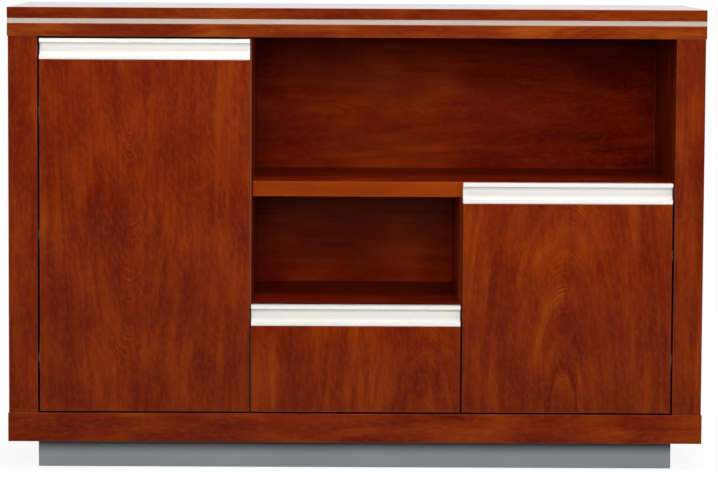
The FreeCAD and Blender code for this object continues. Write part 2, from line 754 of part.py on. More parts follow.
class Hinges:
    """The hinges of one door: housings and pins in the door, arms and plates on the side panel."""

    def __init__(self, side, label, door, panel):
        self.side = side
        self.label = label
        self.door = door
        self.panel = panel
        self.first = FRONT_LOW + size.hinge_end
        self.reach = door.top - size.hinge_end - self.first
        self.count = math.ceil(self.reach.value / size.hinge_pitch.value) + 1
        self.edge = SIDE_IN - size.front_gap
        self.pin_x = side * (self.edge - size.hinge_pin_inset)
        self.pin_y = FACE + size.hinge_pin_setback
        self.wall_x = side * SIDE_IN

    def heights(self):
        """The height of each hinge."""
        step = self.reach / (self.count - 1)
        return [self.first + index * step for index in range(self.count)]

    def from_edge(self, near, far):
        """The low and high x of a stretch of the door given by distances from its hinged edge."""
        return span(self.side, self.edge - far, self.edge - near)

    def housing(self, z):
        """The housing let into the door's edge and back, with a slot for the arm and a pin."""
        name = f"{self.label}_hinge_housing"
        eye_room = size.hinge_eye + size.hinge_play
        front = self.pin_y - eye_room - size.housing_floor
        half, fit = size.housing_height / 2, size.fit
        room = block(
            f"{name}_room",
            self.from_edge(-size.front_gap, size.housing_width + fit),
            (front - fit, FRONTS_BACK + fit),
            (z - half - fit, z + half + fit),
        )
        self.door.holes.append(room)
        x = self.from_edge(length(0), size.housing_width)
        core = block(f"{name}_core", x, (front, FRONTS_BACK), (z - half, z + half))
        back = FRONTS_BACK + size.flange_metal
        x = self.from_edge(size.flange_inset, size.housing_width)
        reach = size.flange_height / 2
        flange = block(f"{name}_flange", x, (FRONTS_BACK, back), (z - reach, z + reach))
        slot_half = size.arm_width / 2 + size.hinge_play
        x = self.from_edge(-size.front_gap, size.hinge_pin_inset + eye_room)
        y = (self.pin_y - eye_room, back + size.flange_metal)
        slot = block(f"{name}_slot", x, y, (z - slot_half, z + slot_half))
        foot = (self.pin_x, self.pin_y, z - half)
        pin = rod(f"{name}_pin", foot, "+z", size.hinge_pin_radius, size.housing_height)
        fittings.add(f"{self.label}_hinge_pins", pin)
        radius = size.hinge_pin_radius + size.hinge_pin_play
        holes = [slot, rod(f"{name}_eye", foot, "+z", radius, size.housing_height)]
        body = Bored()
        screw_x = self.side * (self.edge - (size.flange_inset + size.housing_width) / 2)
        group_name = f"{self.label}_hinge_housing_screws"
        for way in spreads:
            start = (screw_x, back, z + way * size.flange_screw_spread)
            radius, reach = size.flange_screw_radius, size.flange_screw_length
            fittings.peg(group_name, [body, self.door], start, "-y", radius, reach)
        return cut(f"{name}_cut", fuse(f"{name}_solid", [core, flange]), holes + body.holes)

    def plate(self, z):
        """The mounting plate on the side panel and the hole for the screw of the arm."""
        name = f"{self.label}_hinge_plate"
        metal = size.plate_metal
        x = span(self.side, SIDE_IN - metal, SIDE_IN)
        start = self.pin_y + size.arm_reach - size.arm_metal / 2 - size.plate_overhang
        stop = self.pin_y + size.arm_tail + size.plate_overhang
        half = size.arm_width / 2 + size.plate_overhang
        spine = block(f"{name}_spine", x, (start, stop), (z - half, z + half))
        middle = self.pin_y + size.plate_screw_setback
        wide, reach = size.plate_wing_width / 2, size.plate_wing_length / 2
        wings = block(f"{name}_wings", x, (middle - wide, middle + wide), (z - reach, z + reach))
        into = outward(self.side)
        face = moved((self.wall_x, middle, z), inward(self.side), metal)
        plate = Bored()
        for way in spreads:
            at = (face[0], middle, z + way * size.plate_screw_spread)
            radius, reach = size.plate_screw_radius, size.plate_screw_length
            fittings.peg("hinge_plate_screws", [plate, self.panel], at, into, radius, reach)
        seat_y = self.pin_y + size.arm_tail - size.seat_screw_inset
        seat = moved((face[0], seat_y, z), inward(self.side), size.arm_metal)
        fittings.screw("hinge_plate_screws", [plate], seat, into, size.arm_metal + metal)
        return cut(f"{name}_cut", fuse(f"{name}_solid", [spine, wings]), plate.holes), plate.holes[-1]

    def finish(self):
        """Makes every housing, plate and arm of the door."""
        heights = self.heights()
        name = f"{self.label}_hinge_housings"
        keep(name, group(name, [self.housing(z) for z in heights]))
        plates = [self.plate(z) for z in heights]
        for plate, _ in plates:
            fittings.add("hinge_plates", plate)
        name = f"{self.label}_hinge_arms"
        body, pad = profile(name, "XY_Plane", [arm_outline(), eye_hole()], size.arm_width)
        row = body.newObject("PartDesign::LinearPattern", f"{name}_row")
        row.Originals = [pad]
        row.Direction = (origin_feature(body, "Z_Axis"), [""])
        row.Occurrences = self.count
        bind(row, Length=self.reach)
        body.Tip = row
        low = self.first - size.arm_width / 2
        if self.side > 0:
            body.Placement = FreeCAD.Placement(FreeCAD.Vector(), FreeCAD.Rotation(AXES["y"], 180))
            low = self.first + self.reach + size.arm_width / 2
        place(body, self.pin_x, self.pin_y, low)
        keep(name, cut(f"{name}_bored", body, [hole for _, hole in plates]))


def make_bumpers(left_door, right_door):
    """Soft bumpers on the dividers' front edges, where the doors come to rest."""
    for side, door in ((-1, left_door), (1, right_door)):
        x = side * (DIVIDER_FAR - size.bumper_inset)
        for z in (FRONT_LOW + size.bumper_end, door.top - size.bumper_end):
            reach = size.backing_gap - size.bumper_play
            bumper = rod("bumper", (x, INNER_FRONT, z), "-y", size.bumper_radius, reach)
            fittings.add("door_bumpers", bumper)


# ---------------------------------------------------------------- drawer


class Drawer:
    """The drawer box behind the drawer front, and the slides that carry it."""

    def __init__(self, front, dividers):
        self.front = front
        self.dividers = dividers
        self.half = BAY_HALF - size.slide_space
        self.inner = self.half - size.box_side
        self.low = FLOOR_TOP + size.box_lift
        self.high = self.low + size.box_height
        self.start = FRONTS_BACK
        self.stop = BACK_IN - size.box_back_gap
        self.slide_z = self.low + size.slide_lift
        self.slide_y = (INNER_FRONT + size.slide_start, self.stop - size.slide_end)

    def make_box(self):
        """Two sides with front and back between them, and a bottom in their grooves."""
        tall = (self.low, self.high)
        across = (-self.inner, self.inner)
        front_y = (self.start, self.start + size.box_side)
        back_y = (self.stop - size.box_side, self.stop)
        deep = (self.start, self.stop)
        layout = {
            "drawer_box_left_side": (span(-1, self.inner, self.half), deep, tall),
            "drawer_box_right_side": (span(1, self.inner, self.half), deep, tall),
            "drawer_box_front": (across, front_y, tall),
            "drawer_box_back": (across, back_y, tall),
        }
        box = {name: Board(name, *ranges) for name, ranges in layout.items()}
        low = self.low + size.box_bottom_lift
        reach = self.inner + size.box_groove
        y = (front_y[1] - size.box_groove, back_y[0] + size.box_groove)
        high = low + size.box_bottom_thickness
        bottom = Board("drawer_box_bottom", (-reach, reach), y, (low, high))
        bottom.finish()
        fit = size.fit
        room = block(
            "drawer_bottom_room",
            (-reach - fit, reach + fit),
            (y[0] - fit, y[1] + fit),
            (low - fit, high + fit),
        )
        for board in box.values():
            board.holes.append(room)
        return box

    def join_box(self, box):
        """Dowels at the corners of the box, and screws from it into the drawer front."""
        heights = (self.low + size.box_dowel_low, self.high - size.box_dowel_high)
        radius, reach = size.box_dowel_radius, size.box_dowel_length
        for side, label in ((-1, "left"), (1, "right")):
            for end, y in (
                ("front", self.start + size.box_side / 2),
                ("back", self.stop - size.box_side / 2),
            ):
                boards = [box[f"drawer_box_{label}_side"], box[f"drawer_box_{end}"]]
                for z in heights:
                    start = (side * (self.inner + size.box_dowel_depth - reach), y, z)
                    fittings.peg("drawer_box_dowels", boards, start, outward(side), radius, reach)
            for z in heights:
                start = (side * self.inner / 2, self.start + size.box_side, z)
                boards = [box["drawer_box_front"], self.front]
                fittings.screw("drawer_screws", boards, start, "-y", size.box_screw_length)

    def channel(self, name, side, web, reach, half_height):
        """A slide member: a web and two flanges, all given as distances from the divider."""
        flange = (web[0], reach) if reach.value > web[0].value else (reach, web[1])
        z = (self.slide_z - half_height, self.slide_z + half_height)
        x = span(side, BAY_HALF - web[1], BAY_HALF - web[0])
        parts = [block(f"{name}_web", x, self.slide_y, z)]
        x = span(side, BAY_HALF - flange[1], BAY_HALF - flange[0])
        for low, high in ((z[0], z[0] + size.slide_metal), (z[1] - size.slide_metal, z[1])):
            parts.append(block(f"{name}_flange", x, self.slide_y, (low, high)))
        return fuse(f"{name}_solid", parts)

    def make_slides(self, box):
        """The three members of both slides, one inside the other, and their screws."""
        metal = size.slide_metal
        outer_half = size.slide_height / 2
        middle_half = outer_half - metal - size.slide_race_gap
        inner_half = middle_half - metal - size.slide_race_gap
        middle_web = (metal + size.slide_web_gap, 2 * metal + size.slide_web_gap)
        inner_web = (size.slide_space - metal, size.slide_space)
        outer_reach = inner_web[0] - size.slide_outer_gap
        middle_reach = inner_web[0] - size.slide_middle_gap
        inner_reach = middle_web[1] + metal
        radius, reach = size.slide_screw_radius, size.slide_screw_length
        inset = size.slide_screw_inset
        ends = (self.slide_y[0] + inset, self.slide_y[1] - inset)
        for side, label in ((-1, "left"), (1, "right")):
            outer = Bored()
            inner = Bored()
            for y in ends:
                start = (side * (BAY_HALF - metal), y, self.slide_z)
                boards = [outer, self.dividers[side]]
                fittings.peg("slide_screws", boards, start, outward(side), radius, reach)
                start = (side * (BAY_HALF - size.slide_space + metal), y, self.slide_z)
                boards = [inner, box[f"drawer_box_{label}_side"]]
                fittings.peg("drawer_screws", boards, start, inward(side), radius, reach)
            members = (
                ("outer", (length(0), metal), outer_reach, outer_half, outer.holes),
                ("middle", middle_web, middle_reach, middle_half, []),
                ("inner", inner_web, inner_reach, inner_half, inner.holes),
            )
            for member, web, flange_reach, half, holes in members:
                name = f"{label}_slide_{member}"
                solid = self.channel(name, side, web, flange_reach, half)
                keep(name, cut(f"{name}_bored", solid, holes))

    def finish(self):
        """Makes the box and the slides."""
        box = self.make_box()
        self.join_box(box)
        self.make_slides(box)
        for board in box.values():
            board.finish()


# ---------------------------------------------------------------- the whole


def check_objects():
    """Stops if an object failed or a piece isn't a valid solid."""
    failed = [item.Label for item in doc.Objects if {"Invalid", "Error"} & set(item.State)]
    for name, item in pieces.items():
        shape = item.Shape
        if shape.isNull() or not shape.isValid() or not shape.Solids:
            failed.append(name)
    if failed:
        raise SystemExit(f"failed objects: {failed}")


def main():
    boards = make_boards()
    make_strip()
    join_carcass(boards)
    hang_back(boards)
    make_plinth(boards["bottom_board"])
    left_door = Front("left_door_panel", "left_door_grip", 0, ROOF - size.front_gap)
    drawer_front = Front("drawer_front_panel", "drawer_grip", 1, DRAWER_TOP)
    right_door = Front("right_door_panel", "right_door_grip", 2, size.shelf_height)
    left_hinges = Hinges(-1, "left", left_door, boards["left_side_panel"])
    right_hinges = Hinges(1, "right", right_door, boards["right_side_panel"])
    cabinets = (
        (-1, "left", ROOF, ("lower_shelf", "upper_shelf"), left_hinges.heights()),
        (1, "right", SHELF_LOW, ("shelf",), right_hinges.heights()),
    )
    make_shelves(boards, cabinets)
    left_hinges.finish()
    right_hinges.finish()
    make_bumpers(left_door, right_door)
    Drawer(drawer_front, {-1: boards["left_divider"], 1: boards["right_divider"]}).finish()
    for front in (left_door, right_door, drawer_front):
        front.finish()
    for board in boards.values():
        board.finish()
    fittings.finish()
    doc.recompute()
    check_objects()
    os.makedirs("parts", exist_ok=True)
    for name, item in pieces.items():
        item.Shape.exportStep(f"parts/{name}.step")
        print(name, len(item.Shape.Solids), round(item.Shape.Volume))


main()
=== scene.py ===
"""Looks of an office credenza: lacquered veneer, aluminium grips and fittings round its construction.

Lengths are metres in the frame of the construction: +X to the right, -Y to the front, +Z up.
"""

import logging
import math
from dataclasses import dataclass, replace
from enum import Enum

import bmesh
import bpy
import numpy as np
from mathutils import Matrix, Vector
from mathutils.geometry import tessellate_polygon


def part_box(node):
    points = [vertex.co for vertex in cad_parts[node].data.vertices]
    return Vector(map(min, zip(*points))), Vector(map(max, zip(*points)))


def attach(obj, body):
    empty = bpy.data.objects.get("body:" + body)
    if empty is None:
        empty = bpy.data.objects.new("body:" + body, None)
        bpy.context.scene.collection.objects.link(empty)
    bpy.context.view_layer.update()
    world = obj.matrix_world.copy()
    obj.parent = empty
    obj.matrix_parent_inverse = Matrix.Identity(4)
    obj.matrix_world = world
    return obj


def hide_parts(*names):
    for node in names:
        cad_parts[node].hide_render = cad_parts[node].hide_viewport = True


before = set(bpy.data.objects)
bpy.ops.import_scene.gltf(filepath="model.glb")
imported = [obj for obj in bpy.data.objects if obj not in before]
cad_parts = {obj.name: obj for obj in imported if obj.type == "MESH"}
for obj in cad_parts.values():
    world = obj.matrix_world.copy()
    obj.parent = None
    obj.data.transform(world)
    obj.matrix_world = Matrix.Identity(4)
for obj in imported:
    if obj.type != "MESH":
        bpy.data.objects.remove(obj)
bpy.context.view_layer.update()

LOG = logging.getLogger("credenza")
IMAGE_WIDTH = 718
MM = 0.001
SEAM = 0.5e-6
COPY_SEAM = 2e-6
BOX_REACH = 0.02 * MM
FLAT_ANGLE = math.radians(0.5)
SHARP_ANGLE = math.radians(30)
SHARP_LIP_ANGLE = math.radians(35)
ARRIS_STEPS = 3

Colour = tuple[float, float, float, float]
Point = tuple[float, float, float]
Span = tuple[float, float]
Faces = list[tuple[int, ...]]
Feed = float | tuple | bpy.types.NodeSocket


# ---------------------------------------------------------------- colours and directions


def srgb(red: int, green: int, blue: int) -> Colour:
    """A display colour as Blender's linear one: each channel follows the sRGB curve.

    Args:
        red, green, blue: the channels, from 0 to 255.

    Returns:
        The linear colour with full opacity.
    """
    channels = np.array([red, green, blue]) / 255
    low = channels / 12.92
    high = ((channels + 0.055) / 1.055) ** 2.4
    linear = np.where(channels <= 0.04045, low, high)
    return (*(float(value) for value in linear), 1.0)


class Lay(Enum):
    """How a board lies: its directions across the grain, out of the face and along the grain."""

    UPRIGHT_FRONT = ((1, 0, 0), (0, 1, 0), (0, 0, 1))
    LEVEL_FRONT = ((0, 0, -1), (0, 1, 0), (1, 0, 0))
    UPRIGHT_SIDE = ((0, 1, 0), (-1, 0, 0), (0, 0, 1))
    FLAT = ((0, 1, 0), (0, 0, 1), (1, 0, 0))

    def turn(self) -> Point:
        """The Euler angles that bring the frame's axes to the board's."""
        return tuple(Matrix(self.value).transposed().to_euler("XYZ"))


# ---------------------------------------------------------------- shader building


class Sheet:
    """A node tree with short calls that add a node and wire it up."""

    def __init__(self, tree: bpy.types.NodeTree) -> None:
        """Keeps the tree that the calls work on."""
        self.tree = tree

    def feed(self, socket: bpy.types.NodeSocket, value: Feed) -> None:
        """Links a socket to another one, or gives it a plain value.

        Args:
            socket: the input to fill.
            value: an output socket, a number, a vector or a colour.
        """
        if isinstance(value, bpy.types.NodeSocket):
            self.tree.links.new(value, socket)
        else:
            socket.default_value = value

    def fill(self, node: bpy.types.Node, inputs: dict[str | int, Feed]) -> None:
        """Feeds several inputs of a node, each by its name or number."""
        for name, value in inputs.items():
            self.feed(node.inputs[name], value)

    def add(self, kind: str, inputs: dict[str | int, Feed], **settings: object) -> bpy.types.Node:
        """Adds a node.

        Args:
            kind: the node's type without the word ShaderNode.
            inputs: values or sockets for its inputs, by name or number.
            settings: values for its own properties.

        Returns:
            The new node.
        """
        node = self.tree.nodes.new(f"ShaderNode{kind}")
        for name, value in settings.items():
            setattr(node, name, value)
        self.fill(node, inputs)
        return node

    def place(self, tree: bpy.types.NodeTree, inputs: dict[str, Feed]) -> bpy.types.NodeOutputs:
        """The outputs of a shared group that is put in with its values."""
        return self.add("Group", inputs, node_tree=tree).outputs

    def maths(self, operation: str, *values: Feed) -> bpy.types.NodeSocket:
        """The result of a Math node on one to three values."""
        return self.add("Math", dict(enumerate(values)), operation=operation).outputs[0]

    def vectors(self, operation: str, *values: Feed) -> bpy.types.NodeSocket:
        """The result of a Vector Math node on one or two vectors."""
        return self.add("VectorMath", dict(enumerate(values)), operation=operation).outputs[0]

    def swing(self, value: Feed) -> bpy.types.NodeSocket:
        """A value from 0 to 1 as a swing about 0."""
        return self.maths("SUBTRACT", value, 0.5)

    def spread(self, value: Feed, low: float, high: float, to: Span = (0, 1)) -> bpy.types.NodeSocket:
        """A value carried smoothly from one range to another.

        Args:
            value: what is carried.
            low, high: the range that it comes from.
            to: the two ends of the new range.

        Returns:
            The value in the new range, clamped to it.
        """
        inputs = {"Value": value, "From Min": low, "From Max": high, "To Min": to[0], "To Max": to[1]}
        return self.add("MapRange", inputs, interpolation_type="SMOOTHSTEP").outputs[0]

    def split(self, vector: Feed) -> tuple[bpy.types.NodeSocket, ...]:
        """The three parts of a vector."""
        return tuple(self.add("SeparateXYZ", {0: vector}).outputs)

    def noise(self, vector: Feed, scale: Feed, seed: Feed, detail: float,
              rough: float = 0.5) -> bpy.types.Node:
        """A noise that differs from board to board by its seed.

        Args:
            vector: where it is read.
            scale: how many waves lie on a metre along each axis.
            seed: a number that shifts the noise as a whole.
            detail: how many finer layers it has.
            rough: how strong those are.

        Returns:
            The noise node, whose first output is a number and second a colour.
        """
        scaled = self.vectors("MULTIPLY", vector, scale)
        inputs = {"Vector": scaled, "W": seed, "Scale": 1.0, "Detail": detail, "Roughness": rough}
        return self.add("TexNoise", inputs, noise_dimensions="4D")

    def blend(self, share: Feed, first: Feed, second: Feed) -> bpy.types.NodeSocket:
        """A mix of two colours.

        Args:
            share: how much of the second colour is taken.
            first, second: the colours.

        Returns:
            The mixed colour.
        """
        node = self.add("Mix", {}, data_type="RGBA")
        for socket, value in zip([s for s in node.inputs if s.enabled], (share, first, second)):
            self.feed(socket, value)
        return next(s for s in node.outputs if s.enabled)

    def ramp(self, value: Feed, stops: list[tuple[float, Colour]]) -> bpy.types.NodeSocket:
        """A colour that runs through stops.

        Args:
            value: the place on the ramp, from 0 to 1.
            stops: places and colours, in order.

        Returns:
            The colour.
        """
        node = self.add("ValToRGB", {0: value})
        elements = node.color_ramp.elements
        while len(elements) < len(stops):
            elements.new(0.5)
        for element, (place, colour) in zip(elements, stops):
            element.position = place
            element.color = colour
        return node.outputs[0]

    def relief(self, height: Feed, distance: float, strength: float) -> bpy.types.NodeSocket:
        """The normal of a surface that has the bumps of a height.

        Args:
            height: the height, from 0 to 1.
            distance: how high 1 is.
            strength: how much of it shows.

        Returns:
            The bent normal.
        """
        inputs = {"Height": height, "Distance": distance, "Strength": strength}
        return self.add("Bump", inputs).outputs[0]


class Kind(Enum):
    """The kinds of socket that a group has."""

    VALUE = "NodeSocketFloat"
    VECTOR = "NodeSocketVector"

    def each(self, *names: str) -> dict[str, "Kind"]:
        """Sockets of this kind, by their names."""
        return dict.fromkeys(names, self)


class Group:
    """A node group while it is built: its sheet, its inputs and its outputs."""

    def __init__(self, name: str, takes: dict[str, Kind], gives: tuple[str, ...]) -> None:
        """Makes the group and its sockets.

        Args:
            name: what the group is called.
            takes: the inputs.
            gives: the outputs, all of them numbers.
        """
        self.tree = bpy.data.node_groups.new(name, "ShaderNodeTree")
        for way, sockets in (("INPUT", takes), ("OUTPUT", Kind.VALUE.each(*gives))):
            for label, kind in sockets.items():
                self.tree.interface.new_socket(label, in_out=way, socket_type=kind.value)
        self.sheet = Sheet(self.tree)
        self.taken = self.tree.nodes.new("NodeGroupInput").outputs
        self.given = self.tree.nodes.new("NodeGroupOutput").inputs

    def give(self, name: str, value: Feed) -> None:
        """Wires a value to one of the group's outputs."""
        self.sheet.feed(self.given[name], value)


def flat_sawn_group() -> bpy.types.NodeTree:
    """Wood of a flat sawn board.

    The growth rings are cylinders round the heart line of the log: ring radius = root of (across
    squared plus depth squared), where the depth of the cut is Depth + Rise * along + Bend * along
    squared. Both lengths wander by a slow noise of the size Sway. Over the heart line the rings show as
    arches one above the other, and beside it as lines along the grain, too close to tell apart. Bands of
    colour follow the radius through a one-dimensional noise, many rings to a band. The ring that
    reaches the surface at the heart point, where the radius is Depth, is a dark one.

    Returns:
        The group, with the numbers Figure for the bands, Rings, Late for the dark ring, Streak, Tone,
        Fibre, Pores and Fleck, all from 0 to 1, and Length, the metres from the heart point along the grain.
    """
    ripple_height, fleck_lean = 1.6 * MM, 0.16
    late_start, late_peak, late_end = -1.5 * MM, 1.0 * MM, 8 * MM
    numbers = Kind.VALUE.each("Seed", "Depth", "Rise", "Bend", "Spacing", "Year", "Sway")
    gives = ("Figure", "Rings", "Late", "Streak", "Tone", "Fibre", "Pores", "Fleck", "Length")
    group = Group("flat sawn wood", Kind.VECTOR.each("Vector") | numbers, gives)
    sheet, taken = group.sheet, group.taken
    vector, seed = taken["Vector"], taken["Seed"]
    across, out, along = sheet.split(vector)
    group.give("Length", sheet.maths("ABSOLUTE", along))
    slow = sheet.noise(vector, (5.0, 5.0, 2.2), seed, 3.0, 0.42)
    sideways, inwards = (sheet.maths("MULTIPLY", taken["Sway"], sheet.swing(part))
                         for part in sheet.split(slow.outputs[1])[:2])
    across = sheet.maths("ADD", across, sideways)
    slope = sheet.maths("MULTIPLY_ADD", taken["Bend"], along, taken["Rise"])
    depth = sheet.maths("ADD", sheet.maths("MULTIPLY_ADD", slope, along, taken["Depth"]), out)
    depth = sheet.maths("ADD", depth, inwards)
    squares = sheet.maths("MULTIPLY_ADD", depth, depth, sheet.maths("MULTIPLY", across, across))
    ripple = sheet.noise(vector, (45.0, 45.0, 14.0), seed, 1.0).outputs[0]
    radius = sheet.maths("MULTIPLY_ADD", ripple, ripple_height, sheet.maths("SQRT", squares))
    inside = sheet.maths("SUBTRACT", taken["Depth"], radius)
    outer = sheet.spread(inside, late_start, late_peak)
    group.give("Late", sheet.maths("MULTIPLY", outer, sheet.spread(inside, late_peak, late_end, (1, 0))))
    patch = sheet.noise(vector, (22.0, 22.0, 12.0), seed, 2.0).outputs[0]
    # Output, distance from band to band, finer layers, and how much shows where the patches are low.
    bands = (("Figure", taken["Spacing"], 2.0, 0.5), ("Rings", taken["Year"], 0.0, 0.0))
    for name, spacing, detail, least in bands:
        count = sheet.maths("ADD", sheet.maths("DIVIDE", radius, spacing), seed)
        band = sheet.add("TexNoise", {"W": count, "Scale": 1.0, "Detail": detail}, noise_dimensions="1D")
        swing = sheet.swing(sheet.spread(band.outputs[0], 0.3, 0.7))
        shown = sheet.spread(patch, 0.4, 0.62, (least, 1))
        group.give(name, sheet.maths("MULTIPLY_ADD", swing, shown, 0.5))
    leaning = (sheet.maths("MULTIPLY_ADD", along, fleck_lean, across), out, along)
    lean = sheet.add("CombineXYZ", dict(enumerate(leaning))).outputs[0]
    # Output, where it is read, waves to a metre, shift of the seed, finer layers, and the noise's range.
    layers = (
        ("Streak", vector, (62.0, 62.0, 8.0), 0.0, 2.0, (0.3, 0.7)),
        ("Tone", vector, (15.0, 15.0, 8.0), 40.0, 2.0, (0.3, 0.7)),
        ("Fibre", vector, (330.0, 330.0, 40.0), 60.0, 2.0, (0.28, 0.72)),
        ("Pores", vector, (2600.0, 2600.0, 130.0), 20.0, 1.0, (0.58, 0.72)),
        ("Fleck", lean, (150.0, 150.0, 70.0), 80.0, 1.0, (0.42, 0.74)),
    )
    for name, where, scale, shift, detail, (low, high) in layers:
        layer = sheet.noise(where, scale, sheet.maths("ADD", seed, shift), detail)
        group.give(name, sheet.spread(layer.outputs[0], low, high))
    return group.tree


def arris_group() -> bpy.types.NodeTree:
    """A mask along the edges of a board.

    For each axis the distance under the board's surface is half the board's size less the distance
    from its middle. The second smallest of the three distances is how far a point of the surface lies
    from the nearest edge, and the mask falls from 1 to 0 over Width, which a noise makes ragged.

    Returns:
        The group, with the number Edge.
    """
    takes = Kind.VECTOR.each("Vector", "Middle", "Half") | Kind.VALUE.each("Width")
    group = Group("board arris", takes, ("Edge",))
    sheet, taken = group.sheet, group.taken
    from_middle = sheet.vectors("ABSOLUTE", sheet.vectors("SUBTRACT", taken["Vector"], taken["Middle"]))
    first, second, third = sheet.split(sheet.vectors("SUBTRACT", taken["Half"], from_middle))
    low = sheet.maths("MINIMUM", first, second)
    high = sheet.maths("MAXIMUM", first, second)
    distance = sheet.maths("MAXIMUM", low, sheet.maths("MINIMUM", high, third))
    ragged = sheet.noise(taken["Vector"], (90.0, 90.0, 90.0), 3.0, 2.0)
    width = sheet.maths("MULTIPLY", taken["Width"], sheet.maths("ADD", ragged.outputs[0], 0.5))
    share = sheet.maths("DIVIDE", distance, width)
    group.give("Edge", sheet.maths("SUBTRACT", 1.0, sheet.spread(share, 0.0, 1.0)))
    return group.tree


def drawn_metal_group() -> bpy.types.NodeTree:
    """Fine lines that drawing or brushing leaves along a metal piece.

    The vector is scaled by Along, a small number on the axis of the lines and large ones on the other
    two, and a detailed noise is read there; a slow second noise gives cloudy differences.

    Returns:
        The group, with the numbers Lines and Cloud, from 0 to 1.
    """
    group = Group("drawn metal", Kind.VECTOR.each("Vector", "Along"), ("Lines", "Cloud"))
    sheet, taken = group.sheet, group.taken
    lines = sheet.noise(taken["Vector"], taken["Along"], 1.0, 3.0, 0.65)
    group.give("Lines", sheet.spread(lines.outputs[0], 0.25, 0.75))
    cloud = sheet.noise(taken["Vector"], (14.0, 14.0, 14.0), 5.0, 3.0)
    group.give("Cloud", sheet.spread(cloud.outputs[0], 0.3, 0.7))
    return group.tree


def speckle_group() -> bpy.types.NodeTree:
    """A fine irregular grain, as of a pressed laminate, a chip board or moulded rubber.

    Returns:
        The group, with the numbers Grain and Cloud, from 0 to 1.
    """
    takes = Kind.VECTOR.each("Vector") | Kind.VALUE.each("Scale")
    group = Group("pressed speckle", takes, ("Grain", "Cloud"))
    sheet, taken = group.sheet, group.taken
    grain = sheet.noise(taken["Vector"], taken["Scale"], 2.0, 3.0, 0.6)
    group.give("Grain", sheet.spread(grain.outputs[0], 0.3, 0.7))
    cloud = sheet.noise(taken["Vector"], (7.0, 7.0, 7.0), 9.0, 2.0)
    group.give("Cloud", sheet.spread(cloud.outputs[0], 0.3, 0.7))
    return group.tree


class Patterns:
    """The shader groups, each built once and shared by the materials."""

    def __init__(self) -> None:
        """Builds the groups."""
        self.wood = flat_sawn_group()
        self.arris = arris_group()
        self.metal = drawn_metal_group()
        self.speckle = speckle_group()


def new_material(name: str) -> tuple[bpy.types.Material, Sheet, bpy.types.Node, bpy.types.NodeSocket]:
    """A material with its shader and the coordinates that its pattern is read at.

    Args:
        name: what it is called.

    Returns:
        The material, its sheet, its Principled shader and the Object coordinates.
    """
    material = bpy.data.materials.new(name)
    material.use_nodes = True
    sheet = Sheet(material.node_tree)
    shader = material.node_tree.nodes["Principled BSDF"]
    return material, sheet, shader, sheet.add("TexCoord", {}).outputs["Object"]


# ---------------------------------------------------------------- finishes


@dataclass(frozen=True)
class Extent:
    """The box that a board or fitting fills."""

    low: Point
    high: Point

    @classmethod
    def of(cls, node: str) -> "Extent":
        """The box of a construction node."""
        low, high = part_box(node)
        return cls(tuple(low), tuple(high))

    def middle(self) -> Point:
        """The centre of the box."""
        return tuple((np.array(self.low) + np.array(self.high)) / 2)

    def half(self) -> Point:
        """Half of the box's size along each axis."""
        return tuple((np.array(self.high) - np.array(self.low)) / 2)


@dataclass(frozen=True)
class Cut:
    """How a board was cut from its log.

    Attributes:
        lay: how the board lies in the cabinet.
        heart: a point of the frame over the heart line of the log.
        seed: a number that makes this board's wood differ from the others.
        depth: distance from the heart line to that point.
        rise: how fast the cut leaves the heart along the grain; a negative one turns the arches over.
        bend: how fast the rise grows along the grain.
        spacing: width of the bands of colour.
        year: distance from ring to ring.
        sway: how far the rings wander.
        figure: how strongly the bands show.
        rings: how strongly the rings show.
        late: how strongly the dark ring at the heart point shows.
        streak: how strongly streaks along the grain show.
        lighter: how much lighter the board is than its neighbours; in the open compartments it paints light
            and shade.
        fade: how fast a painted pool of light at the heart point fades along the grain.
        light_pool_reach: the length that it fades over.
    """

    lay: Lay
    heart: Point
    seed: float
    depth: float = 0.05
    rise: float = 0.1
    bend: float = 0.0
    spacing: float = 0.013
    year: float = 0.6 * MM
    sway: float = 0.04
    figure: float = 0.3
    rings: float = 0.2
    late: float = 0.0
    streak: float = 0.32
    lighter: float = 0.0
    fade: float = 0.0
    light_pool_reach: float = 0.28

    def wood(self, sheet: Sheet, patterns: Patterns, vector: Feed) -> bpy.types.NodeOutputs:
        """Reads the wood of this cut.

        Args:
            sheet: the material's sheet.
            patterns: the shared shader groups.
            vector: the Object coordinates.

        Returns:
            The outputs of the wood group.
        """
        turned_in = {"Vector": vector, "Location": self.heart, "Rotation": self.lay.turn()}
        mapping = sheet.add("Mapping", turned_in, vector_type="TEXTURE")
        log = {"Vector": mapping.outputs[0], "Seed": self.seed, "Depth": self.depth, "Rise": self.rise,
               "Bend": self.bend, "Spacing": self.spacing, "Year": self.year, "Sway": self.sway}
        return sheet.place(patterns.wood, log)


